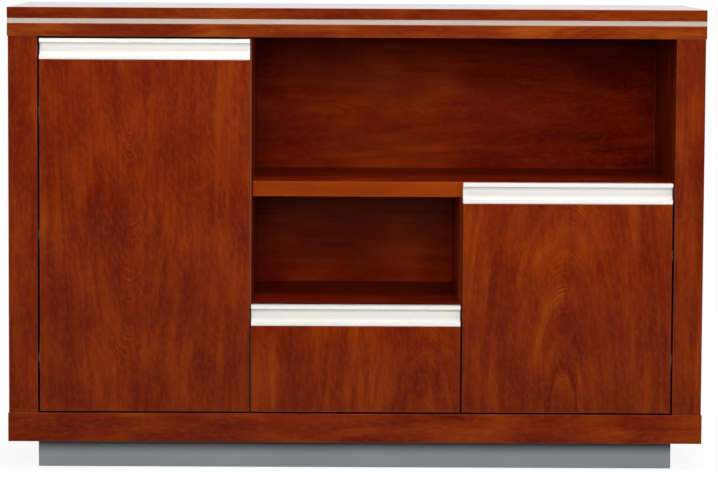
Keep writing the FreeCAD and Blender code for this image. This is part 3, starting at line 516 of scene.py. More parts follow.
@dataclass(frozen=True)
class VeneerFinish:
    """Stained veneer under satin lacquer, from the dark of its late wood to the light of its flecks.

    Attributes:
        dark, middle, light, fleck: the stain, from late wood to flecks.
        red: a redder stain that drifts through the others.
        edge_wear_and_highlight: the colour of scuffed edges, with a painted highlight of light on their
            arris.
        base: where on the stain a board lies before its wood changes it.
        tone, fibre: how much the slow tone and the fine fibre change the stain.
        fleck_share, red_share, pore_share, edge_wear_and_highlight_share: how much of each colour shows at
        most.
        band, band_share: a painted edge colour, light on some boards and shade on others, and how much
            shows.
        band_depth, band_fade: how far in from the face it reaches, and the length over which it ends.
        painted_shadow, painted_shadow_width: the colour and the width of a painted shadow along that edge,
            beside the right face.
        painted_shadow_fade: the length over which that shadow starts.
        toner: the tint of the lacquer's gloss.
        roughness, specular: how dull and how strong that gloss is.
        coat, coat_roughness: the weight and the dullness of the clear top coat.
        arris_width: how wide the rubbed edges are.
        relief_depth: how deep the pores are.
    """

    dark: Colour = srgb(72, 8, 2)
    middle: Colour = srgb(104, 27, 3)
    light: Colour = srgb(122, 43, 5)
    fleck: Colour = srgb(140, 61, 11)
    red: Colour = srgb(86, 12, 7)
    edge_wear_and_highlight: Colour = srgb(150, 88, 66)
    base: float = 0.56
    tone: float = 0.32
    fibre: float = 0.08
    fleck_share: float = 0.3
    red_share: float = 0.35
    pore_share: float = 0.25
    edge_wear_and_highlight_share: float = 0.4
    band: Colour = srgb(176, 100, 80)
    band_share: float = 0.0
    band_depth: float = 1.0 * MM
    band_fade: float = 0.1 * MM
    painted_shadow: Colour = srgb(56, 5, 3)
    painted_shadow_width: float = 0.0
    painted_shadow_fade: float = 0.2 * MM
    toner: Colour = (1.0, 0.28, 0.09, 1.0)
    roughness: float = 0.36
    specular: float = 0.3
    coat: float = 0.06
    coat_roughness: float = 0.1
    # arris_width: how wide the scuffed and highlit edges are.
    arris_width: float = 1.5 * MM
    relief_depth: float = 0.04 * MM

    def stain(self, sheet: Sheet, wood: bpy.types.NodeOutputs, cut: Cut) -> bpy.types.NodeSocket:
        """The colour of the stained wood and its painted pool of light, without its scuffed and highlit
        edges.

        Args:
            sheet: the material's sheet.
            wood: the outputs of the wood group.
            cut: how the board was cut.

        Returns:
            The colour.
        """
        shade = self.base + cut.lighter
        shares = {"Figure": cut.figure, "Rings": cut.rings, "Streak": cut.streak, "Tone": self.tone,
                  "Fibre": self.fibre}
        for part, share in shares.items():
            shade = sheet.maths("MULTIPLY_ADD", sheet.swing(wood[part]), share, shade)
        shade = sheet.maths("MULTIPLY_ADD", wood["Late"], -cut.late, shade)
        # Painted pool of light: the colour darkens along the grain away from the heart point.
        light_pool_distance = sheet.maths("MINIMUM", wood["Length"], cut.light_pool_reach)
        shade = sheet.maths("MULTIPLY_ADD", light_pool_distance, -cut.fade, shade)
        stops = [(0.1, self.dark), (0.5, self.middle), (0.8, self.light), (1.0, self.fleck)]
        colour = sheet.ramp(shade, stops)
        layers = ((wood["Fleck"], self.fleck_share, self.fleck),
                  (sheet.maths("SUBTRACT", 1.0, wood["Tone"]), self.red_share, self.red),
                  (wood["Pores"], self.pore_share, self.dark))
        for mask, share, tint in layers:
            colour = sheet.blend(sheet.maths("MULTIPLY", mask, share), colour, tint)
        return colour

    def edge_light_and_shade(self, sheet: Sheet, vector: Feed, extent: Extent, colour: Feed) -> Feed:
        """The colour with the painted light and shade of the board's front edge over it.

        Args:
            sheet: the material's sheet.
            vector: the Object coordinates.
            extent: the board's box.
            colour: the colour of the board.

        Returns:
            The colour of the board and its painted edge.
        """
        if not self.band_share:
            return colour
        across, inwards, _ = sheet.split(vector)
        ends = extent.low[1] + self.band_depth
        banded = sheet.spread(inwards, ends, ends + self.band_fade, (1, 0))
        colour = sheet.blend(sheet.maths("MULTIPLY", banded, self.band_share), colour, self.band)
        if not self.painted_shadow_width:
            return colour
        # A painted shadow along the edge beside the board's right face.
        side = extent.high[0] - self.painted_shadow_width
        shadow_share = sheet.maths("MULTIPLY", banded, sheet.spread(across, side - self.painted_shadow_fade, side))
        return sheet.blend(shadow_share, colour, self.painted_shadow)

    def build(self, patterns: Patterns, name: str, cut: Cut, extent: Extent) -> bpy.types.Material:
        """Makes the material of one board.

        Args:
            patterns: the shared shader groups.
            name: the board's name.
            cut: how the board was cut.
            extent: the board's box.

        Returns:
            The material.
        """
        material, sheet, shader, vector = new_material(f"{name}_veneer")
        wood = cut.wood(sheet, patterns, vector)
        edge = sheet.place(patterns.arris, {"Vector": vector, "Middle": extent.middle(),
                                            "Half": extent.half(), "Width": self.arris_width})["Edge"]
        # Edge wear mixed with a painted highlight where light catches the eased edges.
        scuffed_and_highlit = sheet.maths("MULTIPLY", edge, self.edge_wear_and_highlight_share)
        colour = sheet.blend(scuffed_and_highlit, self.stain(sheet, wood, cut), self.edge_wear_and_highlight)
        rough = sheet.maths("MULTIPLY_ADD", wood["Fibre"], 0.06, self.roughness)
        height = sheet.maths("SUBTRACT", sheet.maths("MULTIPLY", wood["Fibre"], 0.4), wood["Pores"])
        sheet.fill(shader, {
            "Base Color": self.edge_light_and_shade(sheet, vector, extent, colour),
            "Roughness": sheet.maths("MULTIPLY_ADD", edge, 0.1, rough),
            "Normal": sheet.relief(height, self.relief_depth, 0.2),
            "Specular IOR Level": self.specular,
            "Specular Tint": self.toner,
            "Coat Weight": self.coat,
            "Coat Roughness": self.coat_roughness,
        })
        return material


@dataclass(frozen=True)
class MetalFinish:
    """Drawn or plated metal.

    Attributes:
        colour, shade: its brightest and its dullest colour.
        roughness: how dull its gloss is.
        along: scales of the fine lines, small on the axis that they follow.
        lines: how much the lines change the roughness.
        depth: how deep the lines are.
        metallic: 1 for bare metal, less under a frosted oxide layer.
    """

    colour: Colour
    shade: Colour
    roughness: float
    along: Point
    lines: float = 0.12
    depth: float = 0.005 * MM
    metallic: float = 1.0

    def build(self, patterns: Patterns, name: str) -> bpy.types.Material:
        """Makes the material.

        Args:
            patterns: the shared shader groups.
            name: what it is called.

        Returns:
            The material.
        """
        material, sheet, shader, vector = new_material(name)
        metal = sheet.place(patterns.metal, {"Vector": vector, "Along": self.along})
        lines, clouds = metal["Lines"], sheet.maths("MULTIPLY", metal["Cloud"], 0.4)
        mixed = sheet.maths("MULTIPLY_ADD", lines, 0.6, clouds)
        sheet.fill(shader, {
            "Base Color": sheet.blend(mixed, self.shade, self.colour),
            "Roughness": sheet.maths("MULTIPLY_ADD", lines, self.lines, self.roughness),
            "Normal": sheet.relief(lines, self.depth, 0.2),
            "Metallic": self.metallic,
        })
        return material


@dataclass(frozen=True)
class SpeckleFinish:
    """A pressed, sawn or moulded surface with a fine grain.

    Attributes:
        colour, shade: its two colours.
        roughness: how dull its gloss is.
        scale: how many grains lie on a metre.
        depth: how deep the grain is.
        contrast: how much of the second colour shows in the grain.
        specular: how strong its gloss is.
    """

    colour: Colour
    shade: Colour
    roughness: float
    scale: float
    depth: float = 0.02 * MM
    contrast: float = 0.5
    specular: float = 0.3

    def build(self, patterns: Patterns, name: str) -> bpy.types.Material:
        """Makes the material.

        Args:
            patterns: the shared shader groups.
            name: what it is called.

        Returns:
            The material.
        """
        material, sheet, shader, vector = new_material(name)
        pressed = sheet.place(patterns.speckle, {"Vector": vector, "Scale": self.scale})
        grain = sheet.maths("MULTIPLY", pressed["Grain"], self.contrast)
        share = sheet.maths("MULTIPLY_ADD", pressed["Cloud"], 0.25, grain)
        sheet.fill(shader, {
            "Base Color": sheet.blend(share, self.colour, self.shade),
            "Roughness": sheet.maths("MULTIPLY_ADD", pressed["Grain"], 0.1, self.roughness),
            "Normal": sheet.relief(pressed["Grain"], self.depth, 0.4),
            "Specular IOR Level": self.specular,
        })
        return material


@dataclass(frozen=True)
class TimberFinish:
    """Bare light timber, as of dowels.

    Attributes:
        dark, light: the colours of its late and its early wood.
        roughness: how dull its gloss is.
        depth: how deep its fibres are.
    """

    dark: Colour = srgb(176, 128, 82)
    light: Colour = srgb(214, 172, 120)
    roughness: float = 0.6
    depth: float = 0.05 * MM

    def build(self, patterns: Patterns, name: str, cut: Cut) -> bpy.types.Material:
        """Makes the material.

        Args:
            patterns: the shared shader groups.
            name: what it is called.
            cut: how the timber was cut.

        Returns:
            The material.
        """
        material, sheet, shader, vector = new_material(name)
        wood = cut.wood(sheet, patterns, vector)
        fibres = sheet.maths("MULTIPLY", wood["Fibre"], 0.4)
        shade = sheet.maths("MULTIPLY_ADD", wood["Figure"], 0.6, fibres)
        colour = sheet.blend(shade, self.light, self.dark)
        sheet.fill(shader, {
            "Base Color": sheet.blend(sheet.maths("MULTIPLY", wood["Pores"], 0.5), colour, self.dark),
            "Roughness": sheet.maths("MULTIPLY_ADD", wood["Pores"], 0.15, self.roughness),
            "Normal": sheet.relief(wood["Fibre"], self.depth, 0.4),
        })
        return material


# ---------------------------------------------------------------- meshes


def solid(name: str, points: np.ndarray, faces: Faces, merge: float = SEAM) -> bpy.types.Mesh:
    """A closed mesh with merged seams and faces that point outwards.

    Args:
        name: what the mesh is called.
        points: its points, one row each.
        faces: the numbers of the points of each face.
        merge: points nearer than this become one.

    Returns:
        The mesh, shaded smooth over its rounded parts.
    """
    mesh = bpy.data.meshes.new(name)
    mesh.from_pydata(points.reshape(-1, 3), [], faces)
    work = bmesh.new()
    work.from_mesh(mesh)
    bmesh.ops.remove_doubles(work, verts=work.verts, dist=merge)
    bmesh.ops.recalc_face_normals(work, faces=work.faces)
    work.to_mesh(mesh)
    work.free()
    mesh.validate()
    mesh.shade_smooth()
    return mesh


def grid_faces(rows: int, columns: int, first: int = 0) -> Faces:
    """The quads of a grid of points that are numbered row by row, whose last column joins the first.

    Args:
        rows, columns: how many points the grid has each way.
        first: the number of its first point.

    Returns:
        The faces.
    """
    numbers = first + np.arange(rows * columns).reshape(rows, columns)
    right = np.roll(numbers, -1, axis=1)
    quads = np.stack([numbers[:-1], right[:-1], right[1:], numbers[1:]], axis=-1)
    return [tuple(quad) for quad in quads.reshape(-1, 4).tolist()]


def eased_block(extent: Extent, arris: float, steps: int = ARRIS_STEPS) -> tuple[np.ndarray, Faces]:
    """The surface of a board with rounded arrises and corners.

    It is a sphere of the arris radius whose eight octants are drawn apart to the corners of the board:
    point = middle + sign of the octant * (half size - arris) + arris * direction, over a grid of
    longitude and latitude in which the lines between octants are doubled.

    Args:
        extent: the board's box.
        arris: the radius of its edges.
        steps: how many facets round each edge.

    Returns:
        The points and the faces.
    """
    quarter = np.linspace(0, math.pi / 2, steps + 1)
    turn = np.concatenate([quarter + index * math.pi / 2 for index in range(4)])
    rise = np.concatenate([quarter - math.pi / 2, quarter])
    longitude, latitude = np.meshgrid(turn, rise)
    corner_x, corner_y, corner_z = (np.repeat(signs, steps + 1)
                                    for signs in ([1, -1, -1, 1], [1, 1, -1, -1], [-1, 1]))
    sign_x, sign_z = np.meshgrid(corner_x, corner_z)
    sign_y = np.meshgrid(corner_y, corner_z)[0]
    ways = np.stack([np.cos(latitude) * np.cos(longitude), np.cos(latitude) * np.sin(longitude),
                     np.sin(latitude)], axis=-1)
    signs = np.stack([sign_x, sign_y, sign_z], axis=-1)
    core = np.array(extent.half()) - arris
    points = np.array(extent.middle()) + signs * core + arris * ways
    rows, columns = len(rise), len(turn)
    poles = np.arange(0, columns, steps + 1)
    caps = [tuple(poles.tolist()), tuple((poles + (rows - 1) * columns).tolist())]
    return points.reshape(-1, 3), grid_faces(rows, columns) + caps


def swept(outlines: list[np.ndarray], stations: list[np.ndarray]) -> tuple[np.ndarray, Faces]:
    """A profile carried along a path, with its ends closed.

    At each station a point of the profile is origin + u * first axis + v * second axis, and a station
    is the matrix whose rows are the origin and the two axes. The first outline is the outer one and
    the others are chambers in it.

    Args:
        outlines: closed lines of (u, v), without a repeated last point.
        stations: one 3 by 3 matrix for each section.

    Returns:
        The points and the faces.
    """
    sections = np.stack(stations)
    points, faces, near, far, first = [], [], [], [], 0
    for outline in outlines:
        count = len(outline)
        weights = np.column_stack([np.ones(count), outline])
        points.append(np.einsum("nk,skj->snj", weights, sections).reshape(-1, 3))
        faces += grid_faces(len(stations), count, first)
        near.append(np.arange(count) + first)
        far.append(near[-1] + count * (len(stations) - 1))
        first += count * len(stations)
    flat = [[Vector((u, v, 0)) for u, v in outline] for outline in outlines]
    ends = [np.concatenate(near), np.concatenate(far)]
    for triangle in tessellate_polygon(flat):
        faces += [tuple(end[list(triangle)].tolist()) for end in ends]
    return np.concatenate(points), faces


def arc(centre: Span, radius: float, start: float, stop: float, steps: int) -> np.ndarray:
    """Points of an arc: centre + radius * (cos, sin) of angles from start to stop, in degrees.

    Args:
        centre: its centre.
        radius: its radius.
        start, stop: its two ends, in degrees.
        steps: how many chords it has.

    Returns:
        The points, one row each.
    """
    angles = np.radians(np.linspace(start, stop, steps + 1))
    return np.column_stack([centre[0] + radius * np.cos(angles), centre[1] + radius * np.sin(angles)])


def rounded_outline(corners: list[Point], steps: int = ARRIS_STEPS) -> np.ndarray:
    """A closed line whose corners are rounded.

    At each corner the arc touches both runs: its ends lie radius / tan(half the inner angle) from the
    corner, and its points are a quadratic blend of end, corner and end, close to a circle for the
    small radii of an arris.

    Args:
        corners: rows of (u, v, radius).
        steps: chords for each corner.

    Returns:
        The points, one row each.
    """
    points = np.array([corner[:2] for corner in corners])
    radii = np.array([corner[2] for corner in corners])
    before = np.roll(points, 1, axis=0) - points
    after = np.roll(points, -1, axis=0) - points
    before /= np.linalg.norm(before, axis=1)[:, None]
    after /= np.linalg.norm(after, axis=1)[:, None]
    inner = np.arccos(np.clip((before * after).sum(axis=1), -1, 1))
    reach = (radii / np.tan(inner / 2))[:, None]
    blend = np.linspace(0, 1, steps + 1)[None, :, None]
    start, stop = points + before * reach, points + after * reach
    curve = ((1 - blend) ** 2 * start[:, None] + 2 * blend * (1 - blend) * points[:, None]
             + blend ** 2 * stop[:, None])
    return curve.reshape(-1, 2)


def merged_copy(node: str) -> bpy.types.Mesh:
    """A copy of a construction node's mesh, with its loose triangles joined into flat faces.

    Args:
        node: the node's name.

    Returns:
        The mesh, with sharp edges where its faces meet at more than 30 degrees.
    """
    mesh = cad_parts[node].data.copy()
    mesh.materials.clear()
    work = bmesh.new()
    work.from_mesh(mesh)
    bmesh.ops.remove_doubles(work, verts=work.verts, dist=COPY_SEAM)
    bmesh.ops.dissolve_limit(work, angle_limit=FLAT_ANGLE, verts=work.verts, edges=work.edges)
    work.to_mesh(mesh)
    work.free()
    mesh.shade_smooth()
    mesh.set_sharp_from_angle(angle=SHARP_ANGLE)
    return mesh


def outer_edges(mesh: bpy.types.Mesh) -> np.ndarray:
    """Marks the edges that lie along the twelve edges of a mesh's own box.

    An edge counts when both of its points lie on the same two or three planes of the box.

    Args:
        mesh: a board's mesh.

    Returns:
        One true or false for each edge.
    """
    points = np.empty(len(mesh.vertices) * 3)
    mesh.vertices.foreach_get("co", points)
    points = points.reshape(-1, 3)
    ends = np.empty(len(mesh.edges) * 2, dtype=int)
    mesh.edges.foreach_get("vertices", ends)
    ends = ends.reshape(-1, 2)
    on_plane = np.concatenate([abs(points - side) < BOX_REACH
                               for side in (points.min(axis=0), points.max(axis=0))], axis=1)
    shared = on_plane[ends[:, 0]] & on_plane[ends[:, 1]]
    return shared.sum(axis=1) >= 2


def eased_copy(node: str, arris: float) -> bpy.types.Mesh:
    """A board's own mesh, ready for a Bevel modifier that eases its outer edges.

    Args:
        node: the construction node with the board and all its bores.
        arris: how wide the eased edges are; it is kept on the mesh for the modifier.

    Returns:
        The mesh, with a bevel weight of 1 on the outer edges.
    """
    mesh = merged_copy(node)
    marked = outer_edges(mesh)
    weights = mesh.attributes.new("bevel_weight_edge", "FLOAT", "EDGE")
    weights.data.foreach_set("value", marked.astype(np.float32))
    sharp = np.zeros(len(mesh.edges), dtype=bool)
    mesh.attributes["sharp_edge"].data.foreach_get("value", sharp)
    mesh.attributes["sharp_edge"].data.foreach_set("value", sharp & ~marked)
    mesh["arris"] = arris
    return mesh


class Bench:
    """Puts finished pieces into the scene: mesh, finish, body, slot and the nodes they stand for."""

    def __init__(self, patterns: Patterns) -> None:
        """Keeps the shared groups and counts the pieces."""
        self.patterns = patterns
        self.count = 0

    def lay_out(self, name: str, mesh: bpy.types.Mesh, material: bpy.types.Material, body: str,
                node: str) -> None:
        """Makes an object of a mesh and ties it to the construction.

        Args:
            name: the piece's name.
            mesh: its mesh, in place.
            material: its finish.
            body: the body that it rides on.
            node: the construction node that it stands for.
        """
        piece = bpy.data.objects.new(name, mesh)
        bpy.context.scene.collection.objects.link(piece)
        mesh.materials.append(material)
        if "arris" in mesh:
            bevel = piece.modifiers.new("eased edges", "BEVEL")
            bevel.width = mesh["arris"]
            bevel.segments = ARRIS_STEPS
            bevel.limit_method = "WEIGHT"
            bevel.harden_normals = True
        else:
            weighted = piece.modifiers.new("flat faces", "WEIGHTED_NORMAL")
            weighted.keep_sharp = True
        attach(piece, body)
        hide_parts(node)
        self.count += 1
        LOG.info("%s: %d faces, rides on %s", name, len(mesh.polygons), body)

    def dress(self, node: str, material: bpy.types.Material) -> None:
        """Gives a construction node that stays in sight its finish.

        Args:
            node: the node's name.
            material: its finish.
        """
        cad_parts[node].material_slots[0].material = material
        LOG.info("%s: dressed as it is", node)


# ---------------------------------------------------------------- sub-assemblies


@dataclass
class Boards:
    """The carcass, shelves and fronts: lacquered boards with eased edges.

    Attributes:
        arris: the radius of the eased edges.
        cuts: how each board was cut, by the name of its node.
        bodies: the bodies of the boards that don't ride on the carcass.
        plain: boards without a bore in sight, whose surface is worked out anew.
        finish: the veneer's finish.
        special: the boards with a finish of their own.
    """

    arris: float
    cuts: dict[str, Cut]
    bodies: dict[str, str]
    plain: frozenset[str]
    finish: VeneerFinish
    special: dict[str, VeneerFinish]

    def build(self, bench: Bench) -> None:
        """Makes and dresses every board.

        Args:
            bench: where the pieces go.
        """
        for node, cut in self.cuts.items():
            extent = Extent.of(node)
            if node in self.plain:
                mesh = solid(node, *eased_block(extent, self.arris))
            else:
                mesh = eased_copy(node, self.arris)
            material = self.special.get(node, self.finish).build(bench.patterns, node, cut, extent)
            body = self.bodies.get(node, "carcass")
            bench.lay_out(f"{node}_veneered", mesh, material, body, node)


@dataclass
class EdgeStrip:
    """The metal strip round the top, in three mitred lengths.

    Attributes:
        depth: from the face of the strip inwards.
        arris: the radius of its edges.
        finish: the metal.
    """

    depth: float
    arris: float
    finish: MetalFinish

    def build(self, bench: Bench) -> None:
        """Sweeps the rectangular section along each length.

        The section is (depth inwards, height). At a mitre the inward axis is the diagonal of the
        corner, so that both lengths end on the same plane.

        Args:
            bench: where the piece goes.
        """
        extent = Extent.of("top_edge_strip")
        (left, front, low), (right, back, high) = extent.low, extent.high
        rise = high - low
        section = rounded_outline([(0, 0, self.arris), (self.depth, 0, self.arris),
                                   (self.depth, rise, self.arris), (0, rise, self.arris)])
        corners = [((left, back, low), (1, 0, 0)), ((left, front, low), (1, 1, 0)),
                   ((right, front, low), (-1, 1, 0)), ((right, back, low), (-1, 0, 0))]
        points, faces = [], []
        for run in zip(corners, corners[1:]):
            stations = [np.array([start, inwards, (0, 0, 1)], dtype=float) for start, inwards in run]
            new_points, new_faces = swept([section], stations)
            shift = sum(len(block) for block in points)
            faces += [tuple(number + shift for number in face) for face in new_faces]
            points.append(new_points)
        mesh = solid("edge_strip", np.concatenate(points), faces, merge=0)
        material = self.finish.build(bench.patterns, "edge_strip_metal")
        bench.lay_out("edge_strip", mesh, material, "carcass", "top_edge_strip")


@dataclass
class Grip:
    """A cove-shaped grip profile on the upper edge of a front.

    Attributes:
        lip: height of the upper lip.
        sill: height of the lower lip.
        back: metal and chamber behind the deepest line of the cove.
        bend: radius of the cove's upper bend.
        wall: thickness of the walls.
        rib: thickness and height of the rib that sits in the panel.
        arris: the radius of the lips' edges.
        nose: the radius of the sill's lower edge.
        finish: the metal.
        rib_root, rib_arris: the radii where the rib starts and at its end.
        sill_turn: how many degrees before the sill's edge the cove's lower arc ends.
        bend_steps, cove_steps: chords of the cove's upper and lower arc.
    """

    lip: float
    sill: float
    back: float
    bend: float
    wall: float
    rib: Span
    arris: float
    nose: float
    finish: MetalFinish
    rib_root: float = 1e-5
    rib_arris: float = 1e-4
    sill_turn: float = 4
    bend_steps: int = 10
    cove_steps: int = 16

    def section(self, deep: float, high: float) -> list[np.ndarray]:
        """The outer line and the chamber, as (distance behind the face, height).

        The cove is two tangent arcs: an upper bend under the lip and a wide lower arc that ends at
        the sill, with both centres at the same height.

        Args:
            deep: from the face to the back.
            high: height without the rib.

        Returns:
            The two closed lines.
        """
        under_lip = high - self.lip
        middle = under_lip - self.bend
        cove = deep - self.back
        drop = middle - self.sill
        sweep = (cove ** 2 + drop ** 2) / (2 * cove)
        heart = (cove - sweep, middle)
        thickness, down = self.rib
        near = (deep - thickness) / 2
        far = near + thickness
        low_angle = math.degrees(math.atan2(self.sill - middle, -heart[0]))
        upper = arc((cove - self.bend, middle), self.bend, 90, 0, self.bend_steps)
        lower = arc(heart, sweep, 0, low_angle + self.sill_turn, self.cove_steps)[1:]
        lips = rounded_outline([
            (0, 0, self.nose), (near, 0, self.rib_root), (near, -down, self.rib_arris),
            (far, -down, self.rib_arris), (far, 0, self.rib_root), (deep, 0, self.arris),
            (deep, high, self.arris), (0, high, self.arris), (0, under_lip, self.arris / 2),
        ])
        edge = np.array([(self.arris / 2, self.sill - self.arris / 8), (0, self.sill - self.arris)])
        shell = sweep + self.wall
        foot = middle - math.sqrt(shell ** 2 - (self.wall - heart[0]) ** 2)
        foot_angle = math.degrees(math.atan2(foot - middle, self.wall - heart[0]))
        corners = [(deep - self.wall, middle), (deep - self.wall, self.wall), (self.wall, self.wall)]
        chamber = np.concatenate([arc(heart, shell, foot_angle, 0, self.cove_steps), corners])
        return [np.concatenate([lips, upper, lower, edge]), chamber]

    def build(self, bench: Bench, node: str, body: str) -> None:
        """Sweeps the section along the front.

        Args:
            bench: where the piece goes.
            node: the construction node that it stands for.
            body: the body that it rides on.
        """
        extent = Extent.of(node)
        (left, face, low), (right, back, high) = extent.low, extent.high
        foot = low + self.rib[1]
        stations = [np.array([(x, face, foot), (0, 1, 0), (0, 0, 1)], dtype=float) for x in (left, right)]
        mesh = solid(node, *swept(self.section(back - face, high - foot), stations))
        mesh.set_sharp_from_angle(angle=SHARP_LIP_ANGLE)
        material = self.finish.build(bench.patterns, f"{node}_metal")
        bench.lay_out(f"{node}_profile", mesh, material, body, node)


@dataclass
class Plinth:
    """The recessed plinth: laminated rails with eased edges, and its blocks.

    Attributes:
        arris: the radius of the eased edges.
        finish: the laminate.
        block_finish: the timber of the corner blocks.
    """

    arris: float
    finish: SpeckleFinish
    block_finish: TimberFinish

    def build(self, bench: Bench) -> None:
        """Makes the five rails and dresses the blocks.

        Args:
            bench: where the pieces go.
        """
        laminate = self.finish.build(bench.patterns, "plinth_laminate")
        for side in ("front", "back", "left", "right", "centre"):
            node = f"plinth_{side}_rail"
            mesh = solid(node, *eased_block(Extent.of(node), self.arris))
            bench.lay_out(f"{node}_laminated", mesh, laminate, "carcass", node)
        cut = Cut(Lay.FLAT, heart=(0, 0, 0), seed=5.0, spacing=0.004)
        bench.dress("plinth_corner_blocks", self.block_finish.build(bench.patterns, "block_timber", cut))


@dataclass
class Fittings:
    """Hinges, slides, screws, pins and the other fittings, as the construction has them.

    Attributes:
        nickel: the plated steel of the metal fittings.
        timber: the dowels.
        rubber: the bumpers.
        laminate: the drawer box.
        core: the chip board inside the top.
    """

    nickel: MetalFinish
    timber: TimberFinish
    rubber: SpeckleFinish
    laminate: SpeckleFinish
    core: SpeckleFinish

    def build(self, bench: Bench) -> None:
        """Dresses every fitting.

        Args:
            bench: where the fittings are dressed.
        """
        patterns = bench.patterns
        dowel_cut = Cut(Lay.UPRIGHT_FRONT, heart=(0, 0, 0), seed=2.0)
        finishes = {
            "nickel_steel": self.nickel.build(patterns, "nickel_plate"),
            "raw_wood": self.timber.build(patterns, "dowel_timber", dowel_cut),
            "drawer_laminate": self.laminate.build(patterns, "drawer_laminate"),
            "core_board": self.core.build(patterns, "chip_core"),
            "bumper_rubber": self.rubber.build(patterns, "bumper_rubber"),
        }
        for name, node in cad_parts.items():
            kind = node.material_slots[0].material.name
            if not node.hide_render and kind in finishes and name != "plinth_corner_blocks":
                bench.dress(name, finishes[kind])


# ---------------------------------------------------------------- studio


@dataclass(frozen=True)
class Lamp:
    """A soft rectangular lamp that doesn't show itself, neither straight nor in a reflection.

    Attributes:
        name: what it is called.
        spot, aim: where it stands, and the point that it faces.
        size: its width and height.
        power: how strong it is, in watts.
    """

    name: str
    spot: Point
    aim: Point
    size: Span
    power: float

    def build(self) -> None:
        """Sets the lamp up."""
        data = bpy.data.lights.new(self.name, "AREA")
        data.shape = "RECTANGLE"
        data.size, data.size_y = self.size
        data.energy = self.power
        lamp = bpy.data.objects.new(self.name, data)
        lamp.location = self.spot
        lamp.rotation_euler = (Vector(self.aim) - Vector(self.spot)).to_track_quat("-Z", "Y").to_euler()
        lamp.visible_camera = False
        lamp.visible_glossy = False
        bpy.context.scene.collection.objects.link(lamp)


@dataclass
class Studio:
    """A pale floor, soft light and the camera.

    Attributes:
        camera_place: where the camera stands.
        pitch, yaw, roll: how it is turned, in degrees; the pitch is downwards.
        focal: its focal length in pixels of the picture.
        lamps: the soft lamps.
        sensor: width of its sensor in millimetres.
        floor_half: half the width of the floor.
        floor_grey: the part of the light that the floor gives back.
        floor_lift: the light that a background ray adds to that.
        shadow_reach: the distances between which the floor turns white.
        ambient: the light from all round.
        room: the light that a reflection finds behind the camera; it finds 1 behind the object.
        room_turn: how far to the back a reflection points where the one gives way to the other.
    """

    camera_place: Point
    pitch: float
    yaw: float
    roll: float
    focal: float
    lamps: tuple[Lamp, ...]
    sensor: float = 36.0
    floor_half: float = 15.0
    floor_grey: Colour = (0.12, 0.12, 0.12, 1)
    floor_lift: float = 0.9
    shadow_reach: Span = (0.9, 2.6)
    ambient: float = 0.11
    room: float = 0.35
    room_turn: Span = (-0.5, 0.4)

    def place_camera(self) -> None:
        """Makes the camera: a turn about the vertical, a tilt and a roll about its own line of sight."""
        data = bpy.data.cameras.new("camera")
        data.sensor_width = self.sensor
        data.lens = self.focal * self.sensor / IMAGE_WIDTH
        data.clip_end = 100
        camera = bpy.data.objects.new("camera", data)
        turn = (Matrix.Rotation(math.radians(self.yaw), 4, "Z")
                @ Matrix.Rotation(math.radians(90 - self.pitch), 4, "X")
                @ Matrix.Rotation(math.radians(self.roll), 4, "Z"))
        camera.matrix_world = Matrix.Translation(self.camera_place) @ turn
        bpy.context.scene.collection.objects.link(camera)
        bpy.context.scene.camera = camera

    def lay_floor(self) -> None:
        """Lays a pale floor that keeps the shadow near the object and turns white further out."""
        half = self.floor_half
        mesh = bpy.data.meshes.new("floor")
        corners = [(-half, -half, 0), (half, -half, 0), (half, half, 0), (-half, half, 0)]
        mesh.from_pydata(corners, [], [(0, 1, 2, 3)])
        floor = bpy.data.objects.new("floor", mesh)
        bpy.context.scene.collection.objects.link(floor)
        material, sheet, shader, vector = new_material("floor")
        sheet.tree.nodes.remove(shader)
        seen = sheet.maths("MAXIMUM", *background_rays(sheet))
        distance = sheet.add("VectorMath", {0: vector}, operation="LENGTH").outputs["Value"]
        far = sheet.maths("MULTIPLY", seen, sheet.spread(distance, *self.shadow_reach))
        diffuse = sheet.add("BsdfDiffuse", {"Color": self.floor_grey})
        lift = sheet.add("Emission", {"Strength": sheet.maths("MULTIPLY", seen, self.floor_lift)})
        near = sheet.add("AddShader", {0: diffuse.outputs[0], 1: lift.outputs[0]})
        white = sheet.add("Emission", {"Strength": 1.0})
        mix = sheet.add("MixShader", {0: far, 1: near.outputs[0], 2: white.outputs[0]})
        sheet.feed(sheet.tree.nodes["Material Output"].inputs["Surface"], mix.outputs[0])
        mesh.materials.append(material)

    def light(self) -> None:
        """Sets up the lamps and the world, which is white behind the object and dimmer elsewhere."""
        for lamp in self.lamps:
            lamp.build()
        world = bpy.data.worlds.new("studio")
        bpy.context.scene.world = world
        world.use_nodes = True
        sheet = Sheet(world.node_tree)
        straight, mirrored = background_rays(sheet)
        to_back = sheet.split(sheet.add("TexCoord", {}).outputs["Generated"])[1]
        mirrored = sheet.maths("MULTIPLY", mirrored, sheet.spread(to_back, *self.room_turn, (self.room, 1)))
        strength = sheet.maths("MAXIMUM", sheet.maths("MAXIMUM", straight, mirrored), self.ambient)
        sheet.fill(world.node_tree.nodes["Background"], {"Strength": strength, "Color": (1, 1, 1, 1)})

    def build(self) -> None:
        """Makes the whole studio and sets the view transform."""
        self.place_camera()
        self.lay_floor()
        self.light()
        bpy.context.scene.view_settings.view_transform = "Standard"


def background_rays(sheet: Sheet) -> tuple[bpy.types.NodeSocket, bpy.types.NodeSocket]:
    """Two masks of the rays that see a background: from the camera, and mirrored or through glass."""
    path = sheet.add("LightPath", {}).outputs
    return path["Is Camera Ray"], sheet.maths("MAXIMUM", path["Is Glossy Ray"], path["Is Transmission Ray"])


# ---------------------------------------------------------------- the whole


